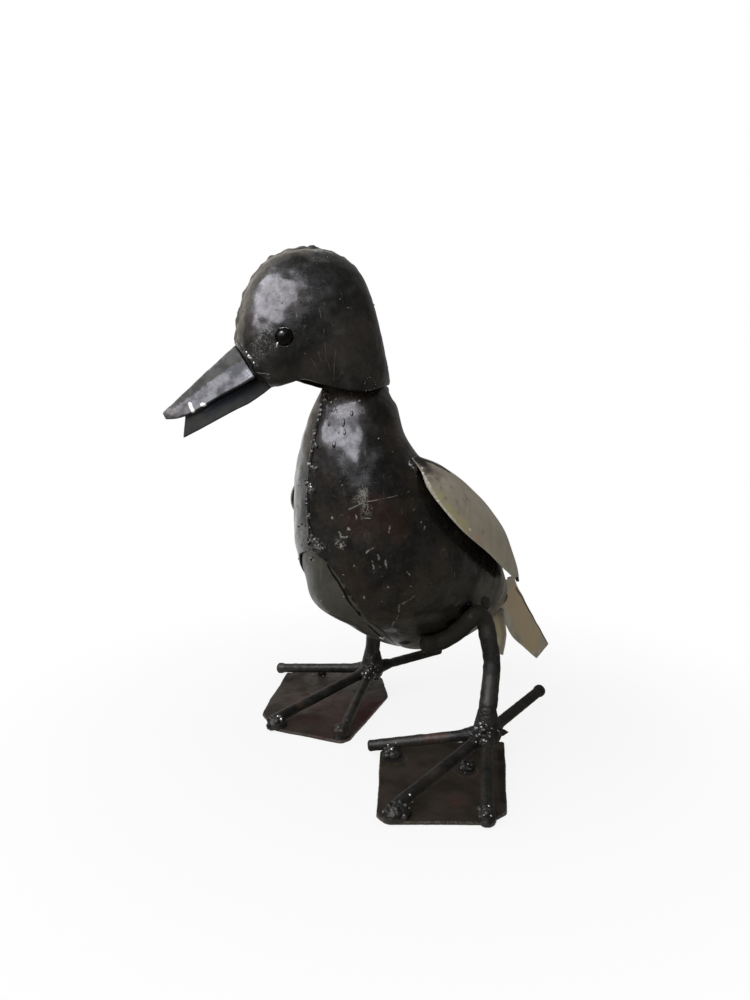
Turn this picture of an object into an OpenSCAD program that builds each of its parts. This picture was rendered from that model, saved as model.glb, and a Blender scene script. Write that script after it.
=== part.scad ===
// Standing duck welded up from cut and pressed steel sheet and round bar.
// Z is up, the bill points towards -Y, the duck's left side is +X.
// The soles of both foot plates lie on Z = 0, and the origin is under the middle of the whole duck.

/* [Stance] */
// Distance between the two ankles, across the duck
stance_w = 150; // [130:1:180]
// How far the left ankle stands ahead of the right one
stride = 20; // [0:1:35]
// Height of the middle of the ankle welds above the ground
ankle_z = 20; // [18:0.5:26]
// Width of each ankle weld
ankle_d = 22; // [20:0.5:25]

/* [Body and neck] */
// Height of the lowest point of the belly above the ground
belly_z = 60; // [55:1:75]
// Height of the body and neck together, from the belly to the open top of the neck
body_h = 212; // [190:1:235]
// Length of the body from the breast to the rump
body_l = 206; // [190:1:225]
// Width of the body at its widest
body_w = 122; // [110:1:135]
// How far the breast reaches ahead of the midpoint between the ankles
breast_reach = 108; // [95:1:120]
// Thickness of the sheet of the body, head, bill and wings
sheet_t = 1.5; // [1:0.1:2]
// Gap that stays open between two sheets that are welded edge to edge
seam_gap = 0.3; // [0.2:0.05:0.5]
// Thickness of the sheet of the belly gusset
gusset_t = 1.5; // [1:0.1:2]
// Gap between the gusset and the body halves over it
gusset_gap = 0.7; // [0.5:0.05:0.8]
// How far the middle of the gusset bulges out between its edges
gusset_bulge = 1.5; // [0:0.25:2]
// How far the gusset reaches under the edges of the two body halves
gusset_lap = 4; // [3:0.5:6]

/* [Head] */
// Length of the head from forehead to nape
head_l = 103; // [95:1:112]
// Height of the head from its lower rim to the crown
head_h = 94; // [86:1:104]
// Width of the head across the cheeks
head_w = 74; // [68:1:80]
// How far the front of the neck reaches up inside the head
neck_lap_h = 13.5; // [11:0.5:16]
// How far the nape of the head stands out over the back of the neck
nape_lap_w = 0.85; // [0.5:0.05:1.2]
// How far the head is turned to the duck's right, in degrees
head_turn = 27; // [0:1:45]
// Diameter of the hole drilled for each eye
eye_hole_d = 11; // [9:0.5:13]
// Gap round the ball in each eye hole
eye_gap = 0.3; // [0.2:0.05:0.5]

/* [Bill] */
// How far the bill reaches ahead of the forehead
bill_reach = 47.5; // [40:0.5:56]
// How far the tip of the bill hangs below the root of its ridge
bill_drop = 45; // [38:0.5:50]
// Width of the upper bill at its root
bill_w = 30; // [26:1:34]
// Gap between the bill's sheets and the head
bill_gap = 0.3; // [0.2:0.05:0.5]

/* [Wings] */
// How far the lower edge of a wing stands off the body
wing_standoff = 13; // [8:1:18]
// The same for the right wing, which is bent out further
right_standoff = 27; // [15:1:32]
// Extra standoff of the upper edge of the right wing, which is bent up over the back
right_lift = 4; // [0:0.5:8]
// Extra height of the dome of a wing between its edges
wing_bulge = 5; // [3:0.5:8]

/* [Tail] */
// Length of the tail plates from the rump to their end
tail_l = 92; // [80:1:105]
// Depth of the folded tail plate, from the fold to its free edge
tail_d = 27; // [22:1:32]
// Width of the folded tail plate across its free edges
tail_w = 8; // [6:0.5:12]
// Slope of the tail below the level, in degrees
tail_slope = 52; // [45:1:60]
// Thickness of the sheet of the tail plates
tail_t = 1.5; // [1:0.1:2]
// Length of the small plate that hangs under the tail
under_l = 36; // [30:1:42]
// Width of the small plate under the tail
under_w = 20; // [16:1:24]

/* [Legs and feet] */
// Diameter of the round bar of the legs
leg_d = 12.5; // [10:0.5:14]
// How far the left leg bows towards the tail between ankle and hip
left_bow = 10.5; // [6:0.5:14]
// How far the right leg bows towards the tail between ankle and hip
right_bow = 2; // [0:0.5:14]
// Diameter of the round bar of the toes
toe_d = 8; // [6:0.25:9]
// Length of the inner front toe of the left foot, from the ankle
left_inner_toe_l = 84; // [75:1:100]
// Length of the middle toe of the left foot
left_middle_toe_l = 100; // [90:1:115]
// Length of the outer front toe of the left foot
left_outer_toe_l = 84; // [75:1:105]
// Length of the rear toe of the left foot
left_rear_toe_l = 88; // [70:1:100]
// Length of the outer front toe of the right foot
right_outer_toe_l = 94; // [75:1:105]
// Length of the middle toe of the right foot
right_middle_toe_l = 112; // [90:1:120]
// Length of the inner front toe of the right foot
right_inner_toe_l = 104; // [75:1:110]
// Length of the rear toe of the right foot
right_rear_toe_l = 73; // [65:1:100]
// Height of the tips of the rear toes above the ground
rear_tip_z = 23.5; // [18:1:35]
// Thickness of the foot plates
plate_t = 2; // [1.5:0.25:3]
// Reach of a foot plate from the ankle to its front corner
plate_l = 110; // [100:1:125]
// Size of the weld lumps between toes and foot plates
toe_weld_d = 13; // [11:0.5:16]

/* [Weld beads] */
// Width of the long seam beads
bead_w = 6; // [4:0.5:8]
// Height of the beads on the head
head_bead_h = 1.5; // [1:0.1:2.5]
// Height of the beads on the body
bead_h = 2.6; // [1.5:0.1:3.5]
// Length of one lump along a seam bead
bead_pitch = 11; // [8:0.5:16]
// Gap left between a weld and the steel that it sits on
weld_gap = 0.15; // [0.1:0.05:0.3]

/* [Hidden] */

// Colours of the lacquered steel, the cream paint, the rusty plates and the bare welds
dark_steel = [0.1, 0.1, 0.1];
cream_paint = [0.72, 0.69, 0.6];
rust_brown = [0.2, 0.12, 0.1];
weld_grey = [0.2, 0.2, 0.19];

// Height of the neck's back edge, right under the head's rim at the nape
rim_rise_share = 0.043;
neck_back_share = 1 - (neck_lap_h - rim_rise_share * head_h + 2 * seam_gap) / body_h;

// Sections of the body, from the open top of the neck down to the rump. Each one is an ellipse
// between a point on the front line and a point on the back line.
// Columns: front point along Y and Z, back point along Y and Z, half width
body_shares = [
    [0.10, 1.00, 0.303, neck_back_share, 0.30],
    [0.09, 0.96, 0.31, neck_back_share - 0.0175, 0.33],
    [0.073, 0.92, 0.318, neck_back_share - 0.0425, 0.405],
    [0.054, 0.88, 0.33, 0.89, 0.475],
    [0.036, 0.83, 0.34, 0.85, 0.54],
    [0.019, 0.765, 0.352, 0.80, 0.635],
    [0.007, 0.695, 0.395, 0.74, 0.735],
    [0.0, 0.615, 0.482, 0.68, 0.84],
    [0.0, 0.52, 0.59, 0.595, 0.94],
    [0.005, 0.42, 0.69, 0.495, 1.0],
    [0.028, 0.311, 0.78, 0.39, 0.99],
    [0.062, 0.222, 0.855, 0.295, 0.93],
    [0.184, 0.144, 0.905, 0.215, 0.78],
    [0.315, 0.062, 0.93, 0.16, 0.57],
    [0.466, 0.012, 0.94, 0.125, 0.37],
    [0.63, 0.0, 0.94, 0.10, 0.20],
    [0.77, 0.012, 0.93, 0.083, 0.09]
];

// Ribs of the head, from the root of the bill back to the nape. Each one runs from a point on
// the crown line to a point on the rim.
// Columns: crown point along Y and Z, rim point along Y and Z, half width, share of a half turn
head_shares = [
    [0.0, 0.314, 0.107, 0.101, 0.405, 0.70],
    [0.008, 0.43, 0.175, 0.044, 0.62, 0.78],
    [0.03, 0.555, 0.243, 0.03, 0.78, 0.81],
    [0.077, 0.70, 0.32, 0.055, 0.905, 0.79],
    [0.148, 0.824, 0.398, 0.075, 0.97, 0.76],
    [0.252, 0.926, 0.485, 0.053, 1.0, 0.73],
    [0.408, 0.983, 0.573, 0.027, 1.0, 0.71],
    [0.573, 0.98, 0.66, 0.011, 1.0, 0.70],
    [0.73, 0.91, 0.738, 0.0, 0.97, 0.69],
    [0.83, 0.777, 0.806, 0.0, 0.905, 0.69],
    [0.889, 0.605, 0.864, 0.011, 0.8, 0.68],
    [0.936, 0.40, 0.918, 0.027, 0.65, 0.68],
    [0.975, 0.225, 0.962, 0.037, 0.44, 0.67],
    [1.008, 0.085, 1.0, rim_rise_share, 0.14, 0.66]
];
// Height of the lowest point of the head's rim, and where the middle of the neck's top lies
head_z = belly_z + body_h - neck_lap_h;
neck_mid_share = (body_shares[2][0] + body_shares[2][2]) / 2;
neck_y = body_l * neck_mid_share - breast_reach;
// Distance from the middle of the neck's top forwards to the forehead
forehead_reach = head_l - body_l * (body_shares[0][2] - neck_mid_share) - nape_lap_w;

// Upper bill from its root to its tip.
// Columns: ridge forwards and down, free edge forwards and down, half width
upper_bill_shares = [
    [0.006, 0.0, -0.23, 0.455, 1.0],
    [0.253, 0.233, 0.021, 0.604, 0.867],
    [0.505, 0.478, 0.295, 0.76, 0.7],
    [0.758, 0.727, 0.568, 0.935, 0.5],
    [0.926, 0.893, 0.80, 1.035, 0.3],
    [1.0, 0.968, 0.965, 1.05, 0.12]
];

// Lower bill from its root to its tip.
// Columns: free edge forwards and down, keel forwards and down, half width
lower_bill_shares = [
    [-0.262, 0.48, -0.49, 0.583, 1.0],
    [0.0, 0.63, -0.21, 0.80, 0.92],
    [0.23, 0.76, 0.085, 0.96, 0.8],
    [0.463, 0.885, 0.38, 1.13, 0.64],
    [0.69, 1.0, 0.725, 1.32, 0.48]
];

// How round the fold along a bill is
fold_share = 0.18;

// Wing outline on the body, from its root at the shoulder to its tip.
// Columns: station down the body, lower edge and upper edge round the body, standoff of each
wing_shares = [
    [0.375, 0.60, 0.66, 0.01, 0.01],
    [0.41, 0.573, 0.74, 0.15, 0.13],
    [0.45, 0.521, 0.81, 0.35, 0.15],
    [0.50, 0.509, 0.865, 0.65, 0.2],
    [0.55, 0.535, 0.885, 0.85, 0.27],
    [0.60, 0.59, 0.88, 0.95, 0.35],
    [0.65, 0.645, 0.86, 0.90, 0.45],
    [0.71, 0.735, 0.79, 0.75, 0.65]
];

// Opening that the belly gusset closes, from its upper end to its lower end.
// Columns: how far it reaches round the left side of the body, and round the right side
gusset_shares = [
    [0.07, 0.08],
    [0.13, 0.17],
    [0.165, 0.235],
    [0.17, 0.25],
    [0.155, 0.235],
    [0.13, 0.20],
    [0.11, 0.16],
    [0.09, 0.12],
    [0.05, 0.05]
];
gusset_start_share = 0.56;
gusset_end_share = 0.94;
// First and last row of the body's grid that the gusset lies under
gusset_first_row = 16;
gusset_last_row = 28;
gusset_cols = 12;
// Stations where the bead on the breast starts and ends, and the same for the back
bead_start_share = 0.13;
breast_end_share = 0.53;
back_start_share = 0.15;
back_bead_end_share = 0.84;

// Foot plate corners as shares of the plate's reach, from the ankle
left_plate_shares = [
    [-0.509, -0.461],
    [0.059, -0.972],
    [0.151, -0.978],
    [0.511, -0.557],
    [0.512, -0.4],
    [-0.071, 0.263],
    [-0.339, -0.08]
];
right_plate_shares = [
    [-0.716, -0.333],
    [-0.145, -0.932],
    [0.131, -0.993],
    [0.586, -0.761],
    [0.59, -0.687],
    [0.197, -0.005],
    [-0.118, 0.204],
    [-0.386, 0.132]
];

// Directions of the toes round the ankle, in degrees from straight ahead
left_toe_turns = [-46, 7.5, 42.3, -167];
right_toe_turns = [-63.4, 5.1, 37.2, 171.3];

// Overrun of every cut
cut = 1;
// Step for the slope of a curved surface
slope_step = 0.01;
turn_step = 1;
// Number of steps in the shells
body_rows = 30;
body_cols = 14;
head_rows = 13;
head_cols = 24;
bill_rows = 10;
bill_cols = 12;
wing_rows = 18;
wing_cols = 10;
bar_sides = 14;
round_sides = 48;

// Unit vector, and a list of lists made into one list
function unit(v) = v / norm(v);
function flat(l) = [for (row = l) for (item = row) item];

// Smooth curve through a list of rows, with t from 0 to 1
function at(l, i) = l[max(0, min(len(l) - 1, i))];
function blend(a, b, c, d, u) =
    b + u / 2 * (c - a + u * (2 * a - 5 * b + 4 * c - d + u * (3 * (b - c) + d - a)));
function spline(l, t) =
    let (s = max(0, min(1, t)) * (len(l) - 1), i = min(floor(s), len(l) - 2))
    blend(at(l, i - 1), l[i], l[i + 1], at(l, i + 2), s - i);

// Outer face of the body: t runs down from the neck, a runs round from the front line
function body_point(t, a) =
    let (r = spline(body_shares, t))
    let (front = [0, r[0] * body_l - breast_reach, r[1] * body_h + belly_z])
    let (back = [0, r[2] * body_l - breast_reach, r[3] * body_h + belly_z])
    (front + back) / 2 - (back - front) / 2 * cos(a) + [r[4] * body_w / 2 * sin(a), 0, 0];
function body_normal(t, a) =
    let (down = body_point(min(1, t + slope_step), a) - body_point(max(0, t - slope_step), a))
    let (round = body_point(t, a + turn_step) - body_point(t, a - turn_step))
    unit(cross(down, round));
function body_skin(t, a, off) = body_point(t, a) + off * body_normal(t, a);

// Outer face of the head in its own frame: t runs from the bill to the nape, v from crown to rim
function head_point(t, v) =
    let (r = spline(head_shares, t))
    let (a = 180 * r[5] * v, s = (1 - cos(a)) / (1 - cos(180 * r[5])))
    let (crown = [0, r[0] * head_l - forehead_reach, r[1] * head_h + head_z])
    let (rim = [0, r[2] * head_l - forehead_reach, r[3] * head_h + head_z])
    crown + (rim - crown) * s + [r[4] * head_w / 2 * sin(a), 0, 0];
function head_normal(t, v) =
    let (back = head_point(min(1, t + slope_step), v) - head_point(max(0, t - slope_step), v))
    let (down = head_point(t, v + slope_step) - head_point(t, v - slope_step))
    unit(cross(back, down)) * -1;
function head_skin(t, v, off) = head_point(t, v) + off * head_normal(t, v);

// Two faces of triangles for one square of a grid
function quad(a, b, c, d) = [[a, b, c], [a, c, d]];

// Closed sheet between an outer grid of points and an inner one. Seen from outside, the rows
// run down and the columns run to the right.
module sheet(outer, inner) {
    n = len(outer);
    m = len(outer[0]);
    o = function (i, j) i * m + j;
    k = function (i, j) (n + i) * m + j;
    polyhedron(points = flat(concat(outer, inner)), faces = concat(
        flat([for (i = [0:n - 2]) for (j = [0:m - 2])
            quad(o(i, j), o(i, j + 1), o(i + 1, j + 1), o(i + 1, j))]),
        flat([for (i = [0:n - 2]) for (j = [0:m - 2])
            quad(k(i, j), k(i + 1, j), k(i + 1, j + 1), k(i, j + 1))]),
        flat([for (j = [0:m - 2]) quad(o(0, j + 1), o(0, j), k(0, j), k(0, j + 1))]),
        flat([for (j = [0:m - 2]) quad(o(n - 1, j), o(n - 1, j + 1), k(n - 1, j + 1), k(n - 1, j))]),
        flat([for (i = [0:n - 2]) quad(o(i, 0), o(i + 1, 0), k(i + 1, 0), k(i, 0))]),
        flat([for (i = [0:n - 2]) quad(o(i + 1, m - 1), o(i, m - 1), k(i, m - 1), k(i + 1, m - 1))])));
}

// Closed bar through a list of rings that each run clockwise, seen along the bar
module rings(r) {
    m = len(r[0]);
    last = (len(r) - 1) * m;
    polyhedron(points = flat(r), faces = concat(
        [[for (j = [0:m - 1]) j]],
        flat([for (i = [0:len(r) - 2]) for (j = [0:m - 1])
            let (a = i * m, b = (i + 1) * m, k = (j + 1) % m)
            quad(a + j, b + j, b + k, a + k)]),
        [[for (j = [m - 1:-1:0]) last + j]]));
}

// Direction of a path at one of its points
function heading(path, i) = unit(path[min(len(path) - 1, i + 1)] - path[max(0, i - 1)]);

// Round bar of diameter d along a path
module bar(path, d) {
    rings([for (i = [0:len(path) - 1])
        let (along = heading(path, i), side = unit(cross(along, [1, 0, 0])), up = cross(along, side))
        [for (q = [0:bar_sides - 1])
            let (a = 360 * q / bar_sides)
            path[i] + d / 2 * (side * cos(a) + up * sin(a))]]);
}

// Section of a weld bead, across and out from the steel
bead_shares = [[-0.5, 0.0], [-0.34, 0.62], [0, 1.0], [0.34, 0.62], [0.5, 0.0]];
// Size of a bead at its ends, at the waist between two lumps, and the unevenness of the lumps
bead_end_share = 0.45;
bead_waist_share = 0.72;
bead_uneven_share = 0.16;
bead_uneven_turn = 137;

// Lumpy weld bead on points with their outward directions, w wide and h high
module bead(points, outs, w, h) {
    last = len(points) - 1;
    rings([for (i = [0:last])
        let (along = heading(points, i))
        let (out = unit(outs[i] - along * (outs[i] * along)), side = cross(along, out))
        let (lump = (i % 2 == 1 ? 1 : bead_waist_share) * (1 + bead_uneven_share * sin(i * bead_uneven_turn)))
        let (size = i == 0 || i == last ? bead_end_share : lump)
        [for (q = bead_shares) points[i] + out * (weld_gap + q[1] * h * size) + side * q[0] * w * size]]);
}

// Bead on places of the body or of the head, each one a station and a place round it
module body_bead(places, lift = 0, h = bead_h)
    bead([for (p = places) body_skin(p[0], p[1], lift)], [for (p = places) body_normal(p[0], p[1])],
        bead_w, h);
module head_bead(places)
    bead([for (p = places) head_point(p[0], p[1])], [for (p = places) head_normal(p[0], p[1])],
        bead_w, head_bead_h);

// Number of steps that gives one lump for each pitch along a length
function bead_steps(length) = 2 * max(2, round(length / bead_pitch));

// Places a child on the ground frame, with the origin under the middle of the duck
module place() translate([-middle.x, -middle.y, 0]) children();
// Places a child that is given in the head's own frame
module place_head() place() translate([0, neck_y, 0]) rotate([0, 0, -head_turn]) children();

// Mirrored copy for the duck's right side
module right_side() place() mirror([1, 0, 0]) children();

// How far the opening reaches round one side of the body at a station, in degrees.
// Side 0 is the left one and side 1 the right one.
function gusset_turn(t, side) =
    t <= gusset_start_share ? 0
    : 180 * spline(gusset_shares, (t - gusset_start_share) / (gusset_end_share - gusset_start_share))[side];

// Left half of the body and neck, with its seam edges half a gap off the middle
module body_half(side) {
    shift = [seam_gap / 2, 0, 0];
    grid = function (off) [for (i = [0:body_rows])
        let (t = i / body_rows, start = gusset_turn(t, side))
        [for (j = [0:body_cols])
            let (a = start + (180 - start) * j / body_cols, p = body_skin(t, a, off))
            [max(0, p.x), p.y, p.z] + shift]];
    sheet(grid(0), grid(-sheet_t));
}
module body_left_half() color(dark_steel) place() body_half(0);
module body_right_half() color(dark_steel) right_side() body_half(1);

// Beads down the breast and down the back, on the seam between the two halves
module seam_bead(t0, t1, a) {
    half_way = body_point((t0 + t1) / 2, a);
    steps = bead_steps(norm(body_point(t1, a) - half_way) + norm(half_way - body_point(t0, a)));
    body_bead([for (i = [0:steps]) [t0 + (t1 - t0) * i / steps, a]]);
}
module breast_weld() color(weld_grey) place() seam_bead(bead_start_share, breast_end_share, 0);
module back_weld() color(weld_grey) place() seam_bead(back_start_share, back_bead_end_share, 180);

// Panel that closes the belly from inside, tucked under the edges of both halves
module belly_gusset() color(dark_steel) place() {
    lap = 360 * gusset_lap / (PI * body_w);
    depth = sheet_t + gusset_gap;
    grid = function (off) [for (i = [gusset_first_row:gusset_last_row])
        let (t = i / body_rows, s = (i - gusset_first_row) / (gusset_last_row - gusset_first_row))
        let (left = gusset_turn(t, 0) + lap, right = gusset_turn(t, 1) + lap)
        let (bulge = gusset_bulge * sin(180 * s))
        [for (j = [-gusset_cols:gusset_cols])
            let (c = j / gusset_cols)
            body_skin(t, (c < 0 ? right : left) * c, off + bulge * (1 - c * c))]];
    sheet(grid(-depth), grid(-depth - gusset_t));
}
// Short bead across the top corner of the gusset
gusset_bead_turn = 12;
gusset_bead_steps = 4;
module gusset_weld() color(weld_grey) place() {
    t = gusset_start_share - slope_step;
    body_bead([for (i = [0:gusset_bead_steps]) [t, gusset_bead_turn * (2 * i / gusset_bead_steps - 1)]]);
}

// Station and place on a head half where the eye sits, and the eye's outward direction
eye_t_share = 0.283;
eye_v_share = 0.675;
eye_at = head_point(eye_t_share, eye_v_share) + [seam_gap / 2, 0, 0];
eye_out = head_normal(eye_t_share, eye_v_share);
// Turns a child from Z to a direction
module aim(v) rotate([0, acos(v.z / norm(v)), atan2(v.y, v.x)]) children();

// Left half of the head, drilled for the eye
module head_half() {
    shift = [seam_gap / 2, 0, 0];
    grid = function (off) [for (i = [0:head_rows]) [for (j = [0:head_cols])
        let (p = head_skin(j / head_cols, i / head_rows, off)) [max(0, p.x), p.y, p.z] + shift]];
    difference() {
        sheet(grid(0), grid(-sheet_t));
        translate(eye_at) aim(eye_out)
            cylinder(d = eye_hole_d, h = 2 * (sheet_t + cut), center = true, $fn = round_sides);
    }
}
module head_left_half() color(dark_steel) place_head() head_half();
module head_right_half() color(dark_steel) place_head() mirror([1, 0, 0]) head_half();

// Ball that fills the eye hole and stands a little proud of the sheet
module eye() translate(eye_at - eye_out * sheet_t) sphere(d = eye_hole_d - 2 * eye_gap, $fn = round_sides);
module eye_left() color("black") place_head() eye();
module eye_right() color("black") place_head() mirror([1, 0, 0]) eye();

// Bead over the crown, from the root of the bill to the nape
module crown_weld() color(weld_grey) place_head() {
    steps = bead_steps(PI * (head_l + head_h) / 4);
    head_bead([for (i = [0:steps]) [crown_start_share + (1 - crown_start_share) * i / steps, 0]]);
}
crown_start_share = 0.1;

// Bead round the back of the neck, right under the head's rim
module neck_weld() color(weld_grey) place() {
    steps = bead_steps(PI * body_shares[1][4] * body_w * neck_bead_turn / 180);
    places = [for (i = [0:steps]) [neck_bead_share, 180 + neck_bead_turn * (2 * i / steps - 1)]];
    body_bead(places, 2 * weld_gap, head_bead_h);
}
neck_bead_share = 0.05;
neck_bead_turn = 48;

// Folded sheet: c runs from -1 to 1 across the fold between two free edges
function fold_point(ridge, edge, half, c) =
    let (r = fold_share, s = (sqrt(c * c + r * r) - r) / (sqrt(1 + r * r) - r))
    ridge + (edge - ridge) * s + [half * c, 0, 0];
// The same on a table of rows, with places measured from a root along two directions
function fold_on(table, root, along, down, half, t, c) =
    let (r = spline(table, t))
    fold_point(root + along * r[0] + down * r[1], root + along * r[2] + down * r[3], half(r[4]), c);

// Root of the bill's ridge on the forehead, and the direction in which the bill stands off it
bill_rib = head_point(0, 0) - [0, head_point(0, 1).y, head_point(0, 1).z];
bill_root = head_point(0, 0) + bill_gap * unit([0, -bill_rib.z, bill_rib.y]);
function bill_point(table, half, t, c) =
    fold_on(table, bill_root, [0, -bill_reach, 0], [0, 0, -bill_drop], half, t, c);
function bill_skin(table, half, t, c, off) =
    let (at_place = function (t, c) bill_point(table, half, t, c))
    let (ahead = at_place(min(1, t + slope_step), c) - at_place(max(0, t - slope_step), c))
    let (across = at_place(t, c + slope_step) - at_place(t, c - slope_step))
    at_place(t, c) + off * unit(cross(ahead, across));
module bill_sheet(table, half, up) {
    grid = function (off) [for (i = [0:bill_rows])
        [for (j = [0:bill_cols])
            bill_skin(table, half, i / bill_rows, up * (2 * j / bill_cols - 1), up * off)]];
    sheet(grid(0), grid(-sheet_t));
}
upper_half = function (share) share * bill_w / 2;
lower_half = function (share) share * bill_w / 2 - sheet_t - 2 * bill_gap;
module upper_bill() color(dark_steel) place_head() bill_sheet(upper_bill_shares, upper_half, 1);
module lower_bill() color(dark_steel) place_head() bill_sheet(lower_bill_shares, lower_half, -1);

// Bead across the forehead over the root of the bill, and a short one at each corner of the mouth
module bill_weld() color(weld_grey) place_head() {
    head_bead([for (i = [0:bill_bead_steps])
        [bill_bead_share, bill_bead_end_share * (2 * i / bill_bead_steps - 1)]]);
    for (side = [0, 1]) mirror([side, 0, 0])
        head_bead([for (i = [1:mouth_bead_steps])
            [mouth_bead_end_share * i / mouth_bead_steps, mouth_bead_share]]);
}
bill_bead_share = 0.03;
bill_bead_end_share = 0.44;
bill_bead_steps = 8;
mouth_bead_share = 0.85;
mouth_bead_end_share = 0.15;
mouth_bead_steps = 5;

// How far the bend of the right wing has gone at a place along it, most of it near the root
function wing_bend(u) = sin(180 * pow(u, wing_bend_share));
wing_bend_share = 0.8;
// Wing: a domed leaf of sheet that follows the body and stands off it. The lead is how much
// further round its lower and upper edges lie, as a share of a half turn.
function wing_edge(u, lead) = 180 * (spline(wing_shares, u)[1] - lead[0] * wing_bend(u));
module wing(lead, standoff, lift) {
    grid = function (extra) [for (i = [0:wing_rows])
        let (u = i / wing_rows, r = spline(wing_shares, u), edge = wing_edge(u, lead))
        let (reach = 180 * (r[2] + lead[1] * wing_bend(u)) - edge)
        [for (j = [0:wing_cols])
            let (c = j / wing_cols, dome = wing_bulge * 4 * c * (1 - c) * sin(180 * u))
            let (off = standoff * (r[3] + (r[4] - r[3]) * c) + lift * c * wing_bend(u) + dome)
            body_skin(r[0], edge + reach * c, off + weld_gap + extra)]];
    sheet(grid(sheet_t), grid(0));
}
module wing_left() color(cream_paint) place() wing(left_lead_shares, wing_standoff, 0);
module wing_right() color(cream_paint) right_side() wing(right_lead_shares, right_standoff, right_lift);
left_lead_shares = [0, 0];
right_lead_shares = [0.12, 0.15];

// Bead along the front of a wing's root
module wing_weld(lead) {
    steps = bead_steps(wing_bead_l);
    ps = [for (i = [0:steps]) let (u = wing_bead_share * i / steps)
        [spline(wing_shares, u)[0], wing_edge(u, lead) - wing_bead_turn]];
    body_bead(ps);
}
wing_bead_share = 0.16;
wing_bead_l = 2 * bead_pitch;
wing_bead_turn = 4;
module wing_weld_left() color(weld_grey) place() wing_weld(left_lead_shares);
module wing_weld_right() color(weld_grey) right_side() wing_weld(right_lead_shares);

// Place on the back line where the tail starts, and the tail's own directions
rump = body_point(0.9, 180);
tail_along = [0, cos(tail_slope), -sin(tail_slope)];
tail_down = [0, -sin(tail_slope), -cos(tail_slope)];
// Tail plate from the rump to its end.
// Columns: fold along and across the tail, free edge along and across, half width
tail_shares = [
    [-0.02, -0.902, -0.14, -0.27, 0.6],
    [0.166, -0.834, 0.132, 0.233, 0.97],
    [0.418, -0.82, 0.394, 0.338, 0.9],
    [0.682, -0.799, 0.627, 0.161, 0.85],
    [0.933, -0.783, 0.869, -0.043, 0.8]
];
// How much of the far side of the fold is left
tail_lip_share = 0.3;
tail_half = function (share) share * tail_w / 2;
function tail_point(t, c) =
    fold_on(tail_shares, rump, tail_along * tail_l, tail_down * tail_d, tail_half, t, c);
function tail_skin(t, c, off) =
    let (ahead = tail_point(min(1, t + slope_step), c) - tail_point(max(0, t - slope_step), c))
    let (across = tail_point(t, c + slope_step) - tail_point(t, c - slope_step))
    tail_point(t, c) + off * unit(cross(ahead, across));
// Places across the tail plate, from the far lip to the near free edge
tail_across = [for (j = [0:bill_cols]) (1 + tail_lip_share) * j / bill_cols - tail_lip_share];
module tail_plate() color(cream_paint) place() {
    grid = function (off) [for (i = [0:bill_rows]) [for (c = tail_across) tail_skin(i / bill_rows, c, off)]];
    sheet(grid(0), grid(-tail_t));
}

// Small plate under the tail, from the underside of the rump downwards.
// Columns: half width and depth of each corner on one side
under_shares = [[0.25, 0.0], [0.5, 0.47], [0.25, 1.0]];
module tail_under_plate() color(cream_paint) place() {
    side = function (s) [for (q = under_shares) [s * q[0] * under_w, -q[1] * under_l]];
    seat = body_point(1, under_turn);
    right = side(-1);
    translate([0, seat.y, seat.z - 2 * seam_gap]) rotate([90 + under_lean, 0, 0])
        linear_extrude(tail_t, center = true) polygon(concat(side(1), [for (i = [2:-1:0]) right[i]]));
}
under_turn = 130;
under_lean = 8;

// Bead between the rump and the root of the tail, on each side of the fold
module tail_weld() color(weld_grey) place() {
    for (side = [-1, 1])
        body_bead([for (i = [0:tail_bead_steps])
            [tail_bead_shares[0] + tail_bead_shares[1] * i / tail_bead_steps, 180 + side * tail_bead_turn]]);
}
// Station where the tail beads start, and how far down the body they run
tail_bead_shares = [0.8, 0.13];
tail_bead_turn = 24;
tail_bead_steps = 6;

// Ankle of each foot
left_ankle = [stance_w / 2, -stride / 2, ankle_z];
right_ankle = [-stance_w / 2, stride / 2, ankle_z];
// Flat top of an ankle weld, where the leg bar stands on it
ankle_top = sqrt(pow(ankle_d / 2, 2) - pow(leg_d / 2 + weld_gap, 2));

// Where the leg bar lies along the body, from its end under the belly, over the hip and down.
// Columns: station down the body, place round the body
leg_wrap_shares = [
    [0.783, 0.278],
    [0.787, 0.321],
    [0.776, 0.377],
    [0.757, 0.425],
    [0.735, 0.466],
    [0.723, 0.50]
];
// Bow of the free part of the bar towards the tail.
// Columns: share of the way from the ankle up to the hip, share of the bow
leg_bow_shares = [[0.22, 0.45], [0.5, 1.0], [0.76, 0.85], [0.92, 0.65]];
leg_steps = 24;
// Path of the left leg bar from the ankle up, for an ankle at a given place
function leg_path(ankle, bow) =
    let (wrap = [for (i = [0:leg_steps]) let (s = spline(leg_wrap_shares, 1 - i / leg_steps))
        body_skin(s[0], 180 * s[1], leg_d / 2 + weld_gap)])
    let (foot = ankle + [0, 0, ankle_top + weld_gap], hip = wrap[0])
    let (free = [for (q = leg_bow_shares) foot + (hip - foot) * q[0] + [0, q[1] * bow, 0]])
    let (rise = foot + [0, 0, leg_d / 2])
    let (all = concat([rise], free, [hip, wrap[1]]), used_share = (len(all) - 2) / (len(all) - 1))
    concat([foot], [for (i = [0:leg_steps - 1]) spline(all, i / leg_steps * used_share)], wrap);
module leg_left() color(dark_steel) place() bar(leg_path(left_ankle, left_bow), leg_d);
module leg_right() color(dark_steel) right_side()
    bar(leg_path([-right_ankle.x, right_ankle.y, right_ankle.z], right_bow), leg_d);

// Two beads that hold the bend of the leg bar to the body
module hip_weld() {
    for (ends = hip_bead_shares)
        body_bead([for (i = [0:hip_bead_steps])
            let (p = ends[0] + (ends[1] - ends[0]) * i / hip_bead_steps)
            [p[0], 180 * p[1]]]);
}
hip_bead_steps = 4;
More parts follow.
